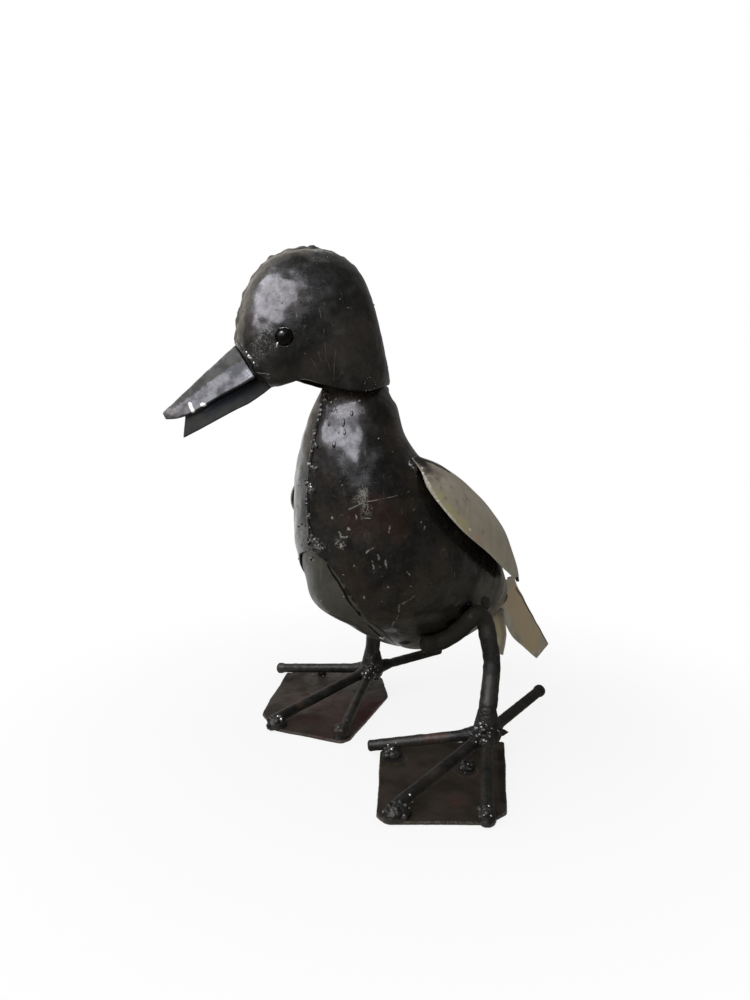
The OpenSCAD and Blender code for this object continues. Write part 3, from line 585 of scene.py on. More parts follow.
# Head
def head_shell(side):
    mirror = side == "right"
    t = np.linspace(0, 1, 131)[None, :]
    v = np.linspace(0, 1, 81)[:, None]
    seed = 11 if mirror else 12
    dents = 0.22 * ripple(head_point(t, v), 26, seed) + 0.10 * ripple(head_point(t, v), 11, seed + 3)
    dents = dents * np.clip(v * 6, 0, 1)

    def grid(off):
        p = head_skin(t, v, off + dents)
        p[..., 0] = np.maximum(0, p[..., 0]) + SEAM / 2
        return on_head(p, mirror)

    shell = sheet(grid(0), grid(-SHEET))
    drill_eye(piece(f"head_shell_{side}", shell, head_steel, [f"head_{side}_half"]), mirror)


EYE_T, EYE_V = np.array(0.283), np.array(0.675)
EYE_AT = head_point(EYE_T, EYE_V) + [SEAM / 2, 0, 0]
EYE_OUT = head_normal(EYE_T, EYE_V)


def drill_eye(obj, mirror):
    path = EYE_AT + np.linspace(-6, 6, 5)[:, None] * EYE_OUT
    cutter = add("cutter", mesh_of("cutter", *tube(on_head(path, mirror), EYE_D / 2000, 64, 1)))
    tidy_normals(cutter)
    m = obj.modifiers.new("eye", "BOOLEAN")
    m.operation, m.object, m.solver = "DIFFERENCE", cutter, "EXACT"
    apply_modifiers(obj)
    bpy.data.objects.remove(cutter)


def eye(side):
    mirror = side == "right"
    turn, rise = np.meshgrid(np.linspace(0, 2 * np.pi, 49)[:-1], np.linspace(0.02, np.pi - 0.02, 33))
    z = EYE_OUT
    x = unit(np.cross(z, [0, 0, 1.0]))
    y = np.cross(z, x)
    r = EYE_D / 2 - 0.3
    flat = np.cos(turn)[..., None] * x + np.sin(turn)[..., None] * y
    p = (EYE_AT - z * SHEET) + r * (np.cos(rise)[..., None] * z + np.sin(rise)[..., None] * flat)
    ball = on_head(p.reshape(-1, 3), mirror), ring_faces(*p.shape[:2])
    piece(f"eye_ball_{side}", ball, eye_mat, [f"eye_{side}"])


BEAD_PITCH, BEAD_STEP = 3.6, 0.28


def ribbon(name, points, outs, width, height, seed, material, nodes, place, ground=0.0):
    """Weld bead of overlapping scales along points, pressed flat where it was ground."""
    points, outs = np.asarray(points, float), np.asarray(outs, float)
    along = unit(np.gradient(points, axis=0))
    out = unit(outs - along * (outs * along).sum(-1, keepdims=True))
    side = np.cross(along, out)
    run = run_of(points)
    c = np.linspace(-1, 1, 15)[None, :]
    s = run[:, None]
    scale = (s / BEAD_PITCH + 0.35 * ripple(points, 9, seed + 3)[:, None] - 0.55 * (1 - c * c)) % 1.0
    profile = np.maximum(0, 1 - np.abs(c) ** 2.4)
    wobble = 1 + 0.22 * ripple(points, 14, seed)[:, None] + 0.1 * ripple(points, 6, seed + 1)[:, None]
    end = np.clip(np.minimum(s, run[-1] - s) / (0.7 * width), 0.05, 1) ** 0.5
    high = height * profile * (1 - BEAD_STEP + BEAD_STEP * scale) * wobble * end
    if ground:
        high = np.minimum(high, ground * (1 + 0.15 * ripple(points, 9, seed + 5)[:, None]) * profile ** 0.5)
    wide = width / 2 * (0.9 + 0.12 * ripple(points, 8, seed + 2)[:, None]) * end
    top = points[:, None] + out[:, None] * (high + WELD_GAP)[..., None] + side[:, None] * (c * wide)[..., None]
    low = points[:, None] - out[:, None] * 0.25 + side[:, None] * (c * wide * 0.96)[..., None]
    piece(name, sheet(place(top), place(low), 0.1), material, nodes)


def crown_weld():
    """Weld over the crown, ground down to low uneven lumps and painted over."""
    t = np.linspace(0.03, 1, 700)
    v = np.zeros_like(t)
    points, outs = head_point(t, v), head_normal(t, v)
    run = run_of(points)
    rng = np.random.default_rng(31)
    high = 0.35 + 0.12 * ripple(points, 12, 32)
    at = 2.0
    while at < run[-1]:
        wide, tall = rng.uniform(2.2, 4.6), rng.uniform(0.35, 1.25)
        high += tall * np.exp(-np.abs((run - at) / wide) ** 2.6)
        at += rng.uniform(6.0, 12.5)
    knob = run[np.argmax(points[:, 2])] + 1
    high += 1.5 * np.exp(-((run - knob) / 2.1) ** 4)
    c = np.linspace(-1, 1, 33)[None, :]
    side = np.cross(unit(np.gradient(points, axis=0)), outs)
    end = np.clip(np.minimum(run, run[-1] - run) / 4, 0.05, 1)[:, None]
    half = (5.2 + 0.7 * ripple(points, 10, 33)[:, None]) * end ** 0.5
    across = points[:, None] + side[:, None] * (c * half)[..., None]
    sink = 0.55 * (c * half) ** 2 / (HEAD_W * 0.5)
    up = high[:, None] * (1 - c * c) ** 1.4 + 0.1 * ripple(across, 3.5, 34) * (1 - c * c)
    top = across + outs[:, None] * (up - sink + WELD_GAP + 0.1)[..., None]
    low = across - outs[:, None] * (sink + 0.5)[..., None]
    piece("crown_bead", sheet(on_head(top), on_head(low), 0.1), head_steel, ["crown_weld"])


# Bill
rib = head_point(np.array(0.0), np.array(0.0)) - head_point(np.array(0.0), np.array(1.0)) * [0, 1, 1]
BILL_ROOT = head_point(np.array(0.0), np.array(0.0)) + 0.3 * unit(np.array([0, -rib[2], rib[1]]))


def bill(name, table, half, up, seed, fold, material):
    ahead, down = np.array([0, -BILL_REACH, 0.0]), np.array([0, 0, -BILL_DROP])

    def point(t, c):
        return folded(table, BILL_ROOT, ahead, down, half, t, c, fold)

    t, c = np.linspace(0, 1, 61)[:, None], up * np.linspace(-1, 1, 61)[None, :]
    t, c = np.broadcast_arrays(t, c)
    dents = 0.14 * ripple(point(t, c), 12, seed) + 0.05 * ripple(point(t, c), 5, seed + 1)
    outer, inner = (on_head(lifted(point, t, c, up * off)) for off in (dents, dents - SHEET))
    piece(name, sheet(outer, inner), material, [name.replace("_sheet", "")])


# Body
GUSSET_TOP, GUSSET_LONG = 0.56, 0.38  # stations down the body, from 0 to 1


def gusset_turn(t, mirror):
    """How far the opening in the belly reaches round one side at a station, in degrees."""
    s = (np.asarray(t, float) - GUSSET_TOP) / GUSSET_LONG
    ramp = np.clip((s + 0.03) / 0.06, 0, 1)
    return 180 * spline(GUSSET, s)[..., int(mirror)] * ramp * ramp * (3 - 2 * ramp)


def body_dents(p, seed):
    return 0.35 * ripple(p, 42, seed) + 0.16 * ripple(p, 17, seed + 1)


def body_shell(side):
    mirror = side == "right"
    t = np.linspace(0, 1, 171)[:, None]
    start = gusset_turn(t, mirror)
    a = start + (180 - start) * np.linspace(0, 1, 91)[None, :]
    t = np.broadcast_to(t, a.shape)
    base = body_point(t, a)
    dents = body_dents(base, 21 if mirror else 22) * np.clip(np.minimum(a - start, 180 - a) / 14, 0, 1)

    def grid(off):
        p = body_skin(t, a, off + dents)
        p[..., 0] = np.maximum(0, p[..., 0]) + SEAM / 2
        return on_body(p, mirror)

    piece(f"body_shell_{side}", sheet(grid(0), grid(-SHEET)), body_steel, [f"body_{side}_half"])


def gusset():
    """Panel under the halves' edges in the belly, slightly bulged."""
    first, last, rows = 16, 28, 30
    t, c = np.linspace(first / rows, last / rows, 81)[:, None], np.linspace(-1, 1, 81)[None, :]
    lap = 360 * 4 / (math.pi * BODY_W)
    a = c * (np.where(c < 0, gusset_turn(t, True), gusset_turn(t, False)) + lap)
    t = np.broadcast_to(t, a.shape)
    bulge = 1.5 * (1 - c * c) * np.sin(np.pi * (t * rows - first) / (last - first))
    off = 0.6 * body_dents(body_point(t, a), 25) - SHEET - 0.7 + bulge
    outer, inner = (on_body(body_skin(t, a, x)) for x in (off, off - SHEET))
    piece("gusset_panel", sheet(outer, inner), gusset_steel, ["belly_gusset"])


def body_ribbon(name, t, a, width, height, seed, nodes, mirror=False, ground=0.0, material=weld_mat):
    ribbon(name, body_point(t, a), body_normal(t, a), width, height, seed, material, nodes,
           lambda p: on_body(p, mirror), ground)


def body_welds():
    t = np.linspace(0.13, 0.53, 300)
    body_ribbon("breast_bead", t, 0 * t, BEAD_W * 0.6, 0.7, 41, ["breast_weld"], ground=0.35,
        material=body_steel)
    t = np.linspace(0.15, 0.84, 420)
    body_ribbon("back_bead", t, 0 * t + 180, BEAD_W, 2.2, 42, ["back_weld"])
    t = 0.05 + 0 * np.linspace(0, 1, 160)
    body_ribbon("neck_bead", t, 180 + 48 * np.linspace(-1, 1, 160), BEAD_W, 1.5, 43, ["neck_weld"])
    t = 0.55 + 0 * np.linspace(0, 1, 80)
    body_ribbon("gusset_bead", t, 12 * np.linspace(-1, 1, 80), BEAD_W * 0.7, 0.8, 44,
        ["gusset_weld"], ground=0.5)


# Wings and tail
DOME = 5


def wing(side, lead, standoff, lift, seed):
    """Domed leaf of sheet; lead is how much further round its lower and upper edges lie."""
    mirror = side == "right"
    u, c = np.linspace(0, 1, 121)[:, None], np.linspace(0, 1, 61)[None, :]
    r = spline(WING, u)
    arch, bend = np.sin(np.pi * u), np.sin(np.pi * u**0.8)
    edge = 180 * (r[..., 1] - lead[0] * bend)
    a = edge + (180 * (r[..., 2] + lead[1] * bend) - edge) * c
    off = standoff * (r[..., 3] + (r[..., 4] - r[..., 3]) * c) + lift * c * bend + DOME * 4 * c * (1 - c) * arch
    t = np.broadcast_to(r[..., 0], a.shape)
    dents = 0.3 * ripple(body_point(t, a), 22, seed) * arch
    outer = on_body(body_skin(t, a, off + WELD_GAP + SHEET + dents), mirror)
    inner = on_body(body_skin(t, a, off + WELD_GAP + dents), mirror)
    obj = piece(f"wing_sheet_{side}", sheet(outer, inner), cream, [f"wing_{side}"])
    obj.data.materials.append(wing_back)
    one_side = 120 * 60
    for polygon in obj.data.polygons[one_side:2 * one_side]:
        polygon.material_index = 1
    s = np.linspace(0, 0.16, 120)
    r = spline(WING, s)
    body_ribbon(f"wing_bead_{side}", r[:, 0], 180 * (r[:, 1] - lead[0] * np.sin(np.pi * s**0.8)) - 4,
                BEAD_W, 2.6, seed + 5, [f"wing_weld_{side}"], mirror)


RUMP = body_point(np.array(0.9), np.array(180.0))
slope = math.radians(TAIL_SLOPE)
TAIL_ALONG = np.array([0, math.cos(slope), -math.sin(slope)])
TAIL_DOWN = np.array([0, -math.sin(slope), -math.cos(slope)])


def tail_point(t, c):
    return folded(TAIL, RUMP, TAIL_ALONG * TAIL_L, TAIL_DOWN * TAIL_D, lambda s: s * TAIL_W / 2, t, c)


def tail():
    t, c = np.broadcast_arrays(np.linspace(0, 1, 81)[:, None], np.linspace(-0.3, 1, 61)[None, :])
    dents = 0.2 * ripple(tail_point(t, c), 20, 61)
    outer, inner = (on_body(lifted(tail_point, t, c, off)) for off in (dents, dents - SHEET))
    piece("tail_fold", sheet(outer, inner), cream, ["tail_plate"])


def tail_under():
    """Small plate that hangs under the rump, wide at the top."""
    seat = body_point(np.array(1.0), np.array(130.0))
    half_wide, deep, lean = 20, 36, math.radians(8)
    down = np.array([0, math.sin(lean), -math.cos(lean)])
    level = np.array([0, math.cos(lean), math.sin(lean)])
    d, c = np.broadcast_arrays(np.linspace(-0.17, 1, 31)[:, None], np.linspace(-1, 1, 21)[None, :])
    half = np.interp(d, [0.0, 0.47, 1.0], [0.52, 0.5, 0.25]) * half_wide
    across = np.stack([(half + 2.5) * c, 0 * c, 0 * c], -1)
    p = np.array([2.5, seat[1], seat[2] - 0.6]) + across + down * d[..., None] * deep
    p = p + level * 0.3 * ripple(p, 18, 62)[..., None]
    outer, inner = on_body(p + level * SHEET / 2), on_body(p - level * SHEET / 2)
    piece("tail_under_sheet", sheet(outer, inner), cream, ["tail_under_plate"])


def tail_welds():
    t = np.linspace(0.8, 0.93, 120)
    for q, turn in enumerate((-24, 24)):
        body_ribbon(f"tail_bead_{'lr'[q]}", t, 180 + turn + 0 * t, BEAD_W, 2.6, 63 + q,
                    ["tail_weld"] if q == 0 else [])


# Legs and feet
ANKLE_TOP = math.sqrt((ANKLE_D / 2) ** 2 - (LEG_D / 2 + WELD_GAP) ** 2)


def leg_path(side):
    ankle = np.array(ANKLES[side], float) * [-1 if side == "right" else 1, 1, 1]
    s = spline(LEG_WRAP, np.linspace(1, 0, 61))
    wrap = body_skin(s[:, 0], 180 * s[:, 1], LEG_D / 2 + WELD_GAP)
    foot, hip = ankle + [0, 0, ANKLE_TOP + WELD_GAP], wrap[0]
    free = [foot + (hip - foot) * q[0] + np.array([0, q[1] * BOWS[side], 0]) for q in LEG_BOW]
    t, a = spline(LEG_WRAP, np.array(1 - 1 / 24))
    step = body_skin(np.array(t), np.array(180 * a), LEG_D / 2 + WELD_GAP)
    knots = np.array([foot + [0, 0, LEG_D / 2], *free, hip, step])
    used = (len(knots) - 2) / (len(knots) - 1)
    rise = spline(knots, np.linspace(0, 1, 81)[:-1] * used)
    return np.concatenate([[foot], rise, wrap])


def leg(side):
    mirror = side == "right"
    path = leg_path(side)
    verts, faces = tube(path, LEG_D / 2 + 0.12 * ripple(path, 13, 71), 36)
    verts = verts + 0.1 * ripple(verts, 6, 72)[:, None] * [1, 1, 0]
    piece(f"leg_bar_{side}", (on_body(verts, mirror), faces), bar_steel, [f"leg_{side}"])
    hip = [[[0.69, 0.515], [0.70, 0.45]], [[0.71, 0.56], [0.75, 0.58]]]
    for q, (start, end) in enumerate(hip):
        s = np.linspace(0, 1, 90)
        body_ribbon(f"hip_bead_{side}_{q + 1}", start[0] + (end[0] - start[0]) * s,
                    180 * (start[1] + (end[1] - start[1]) * s), BEAD_W + 1, 1.5, 73 + q,
                    [f"hip_weld_{side}"] if q == 0 else [], mirror, ground=0.5 if q else 0, material=bar_steel)


def toe_tip(side, toe):
    name, length, turn = toe
    x, y, _ = ANKLES[side]
    z = REAR_TIP_Z if name == "rear" else PLATE_T + TOE_D / 2 + WELD_GAP
    return np.array([x + length * math.sin(math.radians(turn)), y - length * math.cos(math.radians(turn)), z])


def toes(side):
    ankle = np.array(ANKLES[side], float)
    for q, toe in enumerate(TOES[side]):
        tip = toe_tip(side, toe)
        s = np.linspace(0.09, 1 - 1.4 / np.linalg.norm(tip - ankle), 70)[:, None]
        path = ankle + (tip - ankle) * s
        knob = 0.7 * np.exp(-((s[:, 0] - 0.975) / 0.035) ** 4) if (side, toe[0]) in KNOBBED else 0
        verts, faces = tube(path, TOE_D / 2 + 0.1 * ripple(path, 9, 81 + q) + knob)
        name = f"{side}_{toe[0]}"
        piece(f"toe_bar_{name}", (on_body(verts), faces), bar_steel, [f"toe_{name}"])


def ankle(side, seed):
    """Weld mass that runs out along the leg and the toes, with a few lumps on it."""
    rng = np.random.default_rng(seed)
    at = np.array(ANKLES[side], float)
    balls = [(at - [0, 0, 1], (ANKLE_D / 2 - 0.6, ANKLE_D / 2 - 0.6, ANKLE_D / 2 - 1.2), (0, 0, 1))]
    balls += [(at + [0, 0, 5 + 1.2 * q], LEG_D / 2 + 3.2 - 0.3 * q, (0, 0, 1)) for q in range(10)]
    for toe in TOES[side]:
        d = unit(toe_tip(side, toe) - at)
        balls += [(at + d * (8 + 1.2 * q), TOE_D / 2 + 2.2 - 0.22 * q, d) for q in range(9)]
    if side == "left":
        right = np.array([math.cos(math.radians(50)), math.sin(math.radians(50)), 0])
        balls += [(at + right * (10 + 1.3 * q) + [0, 0, 0.6], 3.0 - 0.6 * q, right) for q in range(5)]
    lumps(f"ankle_lump_{side}", [(c - MIDDLE, r, o) for c, r, o in balls], bar_steel,
          [f"ankle_weld_{side}"], 0.1, seed, soft=8)
    balls = []
    for q in range(15):
        d = unit(rng.normal(size=3) * [1, 1, 0.9] + [0.4, -0.5, 0.3])
        balls.append((at - MIDDLE + d * rng.uniform(9.2, 10.0), rng.uniform(1.0, 2.0), d))
    lumps(f"ankle_drops_{side}", balls, weld_mat, [], 0.12, seed + 3, 0.35)


def foot_plate(side, seed):
    """Torch-cut plate: an uneven outline with a rough lower edge."""
    outline = np.array(PLATES[side]) * PLATE_L
    line = []
    for a, b in zip(outline, np.roll(outline, -1, axis=0)):
        n = max(2, int(np.linalg.norm(b - a) / 1.5))
        line += [a + (b - a) * k / n for k in range(n)]
    line = np.array(line)
    flat_line = np.column_stack([line, 0 * line[:, 0]])
    for _ in range(2):
        line = (np.roll(line, 1, 0) + 2 * line + np.roll(line, -1, 0)) / 4
    centre = line.mean(0)
    out = unit(line - centre)
    line = line + out * (0.1 * ripple(flat_line, 5, seed) + 0.25 * ripple(flat_line, 30, seed + 1))[:, None]
    profile = [(0.0, 0.0), (0.12, 0.05), (0.12, PLATE_T * 0.5), (0.0, PLATE_T - 0.35), (-0.35, PLATE_T)]
    inner = [0.97, 0.9, 0.8, 0.66, 0.5, 0.3, 0.12]
    rings = [np.column_stack([line - out * 0.4, 0 * line[:, 0]])]
    rough = 0.06 * ripple(flat_line, 2.5, seed + 2)[:, None]
    rings += [np.column_stack([line + out * (o - 0.05 + rough), np.full(len(line), z)]) for o, z in profile]
    for k in inner:
        p = centre + (line - centre) * k
        warp = 0.12 * ripple(np.column_stack([p, 0 * p[:, 0]]), 25, seed + 3)
        rings.append(np.column_stack([p, PLATE_T - 0.1 + warp]))
    verts = np.concatenate(rings)
    verts[:, :2] += ANKLES[side][:2]
    verts[:, 2] = np.maximum(verts[:, 2], 0)
    plate = on_body(verts), ring_faces(len(rings), len(line))
    piece(f"foot_sheet_{side}", plate, plate_mat, [f"foot_plate_{side}"], 50)


def bill_welds():
    v = np.linspace(-0.44, 0.44, 140)
    ribbon("bill_bead", head_point(0.03 + 0 * v, v), head_normal(0.03 + 0 * v, v), BEAD_W * 0.8, 0.8, 55,
           head_steel, ["bill_weld"], on_head)
    t = np.linspace(0.03, 0.15, 60)
    for mirror in (False, True):
        ribbon(f"mouth_bead_{'lr'[mirror]}", head_point(t, 0.85 + 0 * t), head_normal(t, 0.85 + 0 * t),
               BEAD_W * 0.6, 0.7, 56, head_steel, [], lambda p: on_head(p, mirror))


# Build the duck
for side in SIDES:
    head_shell(side)
    eye(side)
    body_shell(side)
crown_weld()
bill("upper_bill_sheet", UPPER_BILL, lambda s: s * BILL_W / 2, 1, 51, 0.5, bill_steel)
bill("lower_bill_sheet", LOWER_BILL, lambda s: s * BILL_W / 2 - SHEET - 0.6, -1, 53, 0.3, lower_steel)
bill_welds()
gusset()
body_welds()
wing("left", (0, 0), 13, 0, 65)
wing("right", (0.12, 0.15), 27, 4, 66)
tail()
tail_under()
tail_welds()
for q, side in enumerate(SIDES):
    leg(side)
    toes(side)
    ankle(side, 91 + q)
    foot_plate(side, 95 + q)


# Camera
LENS, CAMERA_TILT, CAMERA_TURN = 27.36, 82, 50
CAMERA_FROM_ANKLE = [0.3380, -0.3863, 0.237]
PHOTO_MIDDLE, PHOTO_FOCUS = (375, 500), 760  # in the photograph's pixels
STEPS_ASIDE = (0, 1, -1, 2, -2, 3, -3, 5, -5)


def camera():
    data = bpy.data.cameras.new("camera")
    data.lens, data.sensor_width, data.sensor_fit = LENS, 36, "AUTO"
    obj = add("camera", data)
    obj.location = on_body(ANKLES["left"]) + np.array(CAMERA_FROM_ANKLE)
    obj.rotation_euler = (math.radians(CAMERA_TILT), 0, math.radians(CAMERA_TURN))
    bpy.context.scene.camera = obj
    return obj


CAMERA = camera()


# Where the photograph shows a mark
def shell_tree(*more):
    """Tree for ray casts against the pieces that the marks lie on."""
    names = ["head_shell_left", "gusset_panel", "upper_bill_sheet", "lower_bill_sheet", "tail_fold",
             "tail_under_sheet"]
    pairs = ["body_shell", "wing_sheet", "leg_bar", "foot_sheet", "ankle_lump", *more]
    for side in SIDES:
        names += [f"{name}_{side}" for name in pairs]
        names += [f"toe_bar_{side}_{toe[0]}" for toe in TOES[side]]
    return BVHTree.FromPolygons(*merged(names))


SHELLS = shell_tree()


def seen(x, y):
    """Point in metres and outward direction where the photograph shows the duck at x, y or just beside."""
    turn = CAMERA.rotation_euler.to_matrix()
    for step in STEPS_ASIDE:
        across, up = x + step - PHOTO_MIDDLE[0], PHOTO_MIDDLE[1] - y
        ray = turn @ Vector((across / PHOTO_FOCUS, up / PHOTO_FOCUS, -1)).normalized()
        point, normal, _, _ = SHELLS.ray_cast(CAMERA.location, ray)
        if point is not None:
            normal = normal if normal.dot(ray) < 0 else -normal
            return np.array(point), np.array(normal)
    raise ValueError(f"nothing is seen at {x}, {y}")


def scattered(seed, count, low, high, size):
    """Seeded spots on the right half of the body between two stations."""
    rng = np.random.default_rng(seed)
    out = []
    for _ in range(count):
        t, a = rng.uniform(low, high), rng.uniform(20, 170)
        p = on_body(body_skin(np.array(t), np.array(a)), True)
        out.append((p, size * rng.uniform(0.5, 1.3)))
    return out


def drops(rows, flat):
    """Balls for lumps() from rows of x, y and radius, half sunk in the surface."""
    balls = []
    for x, y, radius in rows:
        p, n = seen(x, y)
        balls.append((1000 * p + n * radius * 0.1, (radius, radius, radius * flat), n))
    return balls


# Weld lumps, spatter, drips and burrs
def toe_lumps(side, rows, seed):
    """Lumps that hold the toes to the plate; rows of x, y, toe, half length and half width."""
    rng = np.random.default_rng(seed)
    mass, drips = [], []
    for x, y, q, long, wide in rows:
        tip = toe_tip(side, TOES[side][q])
        d = unit((tip - ANKLES[side]) * [1, 1, 0])
        n = np.array([-d[1], d[0], 0])
        on = 1000 * seen(x, y)[0]
        high = max(4.0, on[2] - PLATE_T + 0.8)
        low = np.array([on[0], on[1], PLATE_T])
        mass.append((low, (long, wide, high), (0, 0, 1), d))
        for k in range(10):
            a, far = rng.uniform(0, 2 * np.pi), rng.uniform(0.2, 0.95)
            w, l = far * math.cos(a), far * math.sin(a)
            spot = low + n * w * wide + d * l * long + [0, 0, high * math.sqrt(1 - far * far)]
            mass.append((spot - [0, 0, 0.9], rng.uniform(1.4, 2.4), (0, 0, 1)))
            if k % 2:
                drips.append((spot, rng.uniform(0.9, 1.5), (0, 0, 1)))
    lumps(f"toe_lumps_{side}", mass, bar_steel, [f"toe_welds_{side}"], 0.12, seed,
        cut=PLATE_T - 0.4, soft=5)
    lumps(f"toe_drops_{side}", drips, weld_mat, [], 0.12, seed + 3, 0.35, cut=PLATE_T - 0.4)


def neck_drips():
    """Flat drips that ran down the neck; rows of x, y, half width and half length."""
    balls = []
    for x, y, wide, long in ((343.3, 422.5, 1.4, 3.4), (351.8, 413.5, 1.3, 2.0), (344.6, 432.5, 1.1, 2.0),
            (334, 444.5, 1.5, 2.6), (360, 400.5, 2.0, 2.4), (379.5, 438.7, 1.4, 1.4), (336, 398, 1.2, 2.2),
            (331, 402, 1.5, 2.2), (334, 409, 1.2, 2.6), (329, 424, 1.1, 1.9), (340, 402, 1.1, 1.5)):
        p, n = seen(x, y)
        down = unit(np.array([0, 0, -1.0]) + n * n[2])
        balls.append((1000 * p, (long, wide, 0.5 * wide), n, down))
    lumps("neck_drips", balls, body_steel, [], 0.05, 103, 0.3, soft=3)


def nape_crater():
    """A ring of weld left on the nape where a scrap was struck off."""
    x, y, radius = 369.5, 384.5, 4.2
    p, n = seen(x, y)
    side = unit(np.cross(n, [0.2, 0.1, 1.0]))
    up = np.cross(n, side)
    balls = []
    for a in 2 * math.pi * np.arange(14) / 14:
        r = radius * (1 + 0.12 * math.sin(3 * a + x))
        at = 1000 * p + r * (math.cos(a) * side + math.sin(a) * up)
        balls.append((at, 0.62 + 0.12 * math.cos(2 * a + y), n))
    lumps("nape_crater", balls, weld_mat, [], 0.08, 369, 0.3)


def ball_on(place, skin, at, mirror, r, raised):
    """Ball for lumps() on a skin of the body or the head."""
    p = place(skin(*at), mirror)
    n = unit(place(skin(*at, 1), mirror) - p)
    return 1000 * p + n * raised, (r, r, r * 0.8), n


def spatter():
    """Small balls of spatter round the welds, and those that the photograph shows."""
    rng = np.random.default_rng(107)
    rows = [(328, 257, 0.5), (300.3, 302.3, 0.75), (296.8, 313.7, 0.5), (305.6, 317.8, 0.65),
        (340.5, 299.4, 0.8), (348.3, 308.1, 0.8), (304.8, 353.3, 0.4), (381.2, 438.7, 0.6), (362.3, 481.8, 0.5),
        (357.6, 485.9, 0.5), (278.6, 296.6, 0.55), (282, 303, 0.6), (276, 310, 0.5), (306, 257.5, 0.6),
        (314, 258.5, 0.6), (337, 412, 0.6), (347, 405, 0.6), (414.2, 510, 0.5), (419.3, 581.7, 0.5),
        (430.8, 583.6, 0.5)]
    balls = drops(rows, 0.8)
    for t, a, spread, count, mirrored in ((0.3, 0, 12, 26, False), (0.5, 0, 14, 22, True),
            (0.4, 176, 7, 26, False), (0.7, 176, 8, 26, True), (0.08, 150, 22, 18, False),
            (0.08, 150, 22, 18, True), (0.74, 84, 14, 14, False), (0.74, 84, 14, 14, True)):
        for _ in range(count):
            tt = np.array(t + rng.uniform(-0.12, 0.12) * (1 if a in (0, 176) else 0.3))
            aa = np.array(a + rng.normal() * spread)
            if a == 0:
                aa = abs(aa) + float(gusset_turn(tt, mirrored)) + 3
            aa = np.clip(aa, 3, 177)
            balls.append(ball_on(on_body, body_skin, (tt, aa), mirrored, rng.uniform(0.3, 0.75), 0.15))
    for _ in range(44):
        t, v = np.array(rng.uniform(0.1, 0.98)), np.array(abs(rng.normal()) * 0.14 + 0.06)
        mirrored = rng.random() < 0.5
        balls.append(ball_on(on_head, head_skin, (t, v), mirrored, rng.uniform(0.25, 0.55), 0.1))
    lumps("spatter", balls, weld_mat, [], 0.03, 109, 0.22)


def eye_burr(side):
    """Curl of torn metal at the lower front of the drilled eye hole."""
    mirror = side == "right"
    x = unit(np.cross(EYE_OUT, [0, 0, 1.0]))
    x = x if x[1] < 0 else -x
    y = np.cross(EYE_OUT, x)
    y = y if y[2] > 0 else -y
    rim = EYE_AT + EYE_OUT * 0.2
    balls = []
    for k in range(9):
        s = k / 8
        out = EYE_D / 2 * (1.02 + 0.42 * s)
        a = math.radians(222 + 10 * s)
        up = EYE_OUT * (0.1 + 0.5 * math.sin(math.pi * s))
        balls.append((rim + out * (-math.cos(a) * x + math.sin(a) * y) + up, 0.62 - 0.32 * s, EYE_OUT))
    for a0 in np.linspace(60, 120, 14):
        a = math.radians(a0)
        balls.append((rim + EYE_D / 2 * 1.03 * (-math.cos(a) * x + math.sin(a) * y), 0.2, EYE_OUT))
    place = [(1000 * on_head(c, mirror), r, o) for c, r, o in balls]
    lumps(f"eye_burr_{side}", place, burr_and_glint_mat, [], 0.05, 111, 0.2)


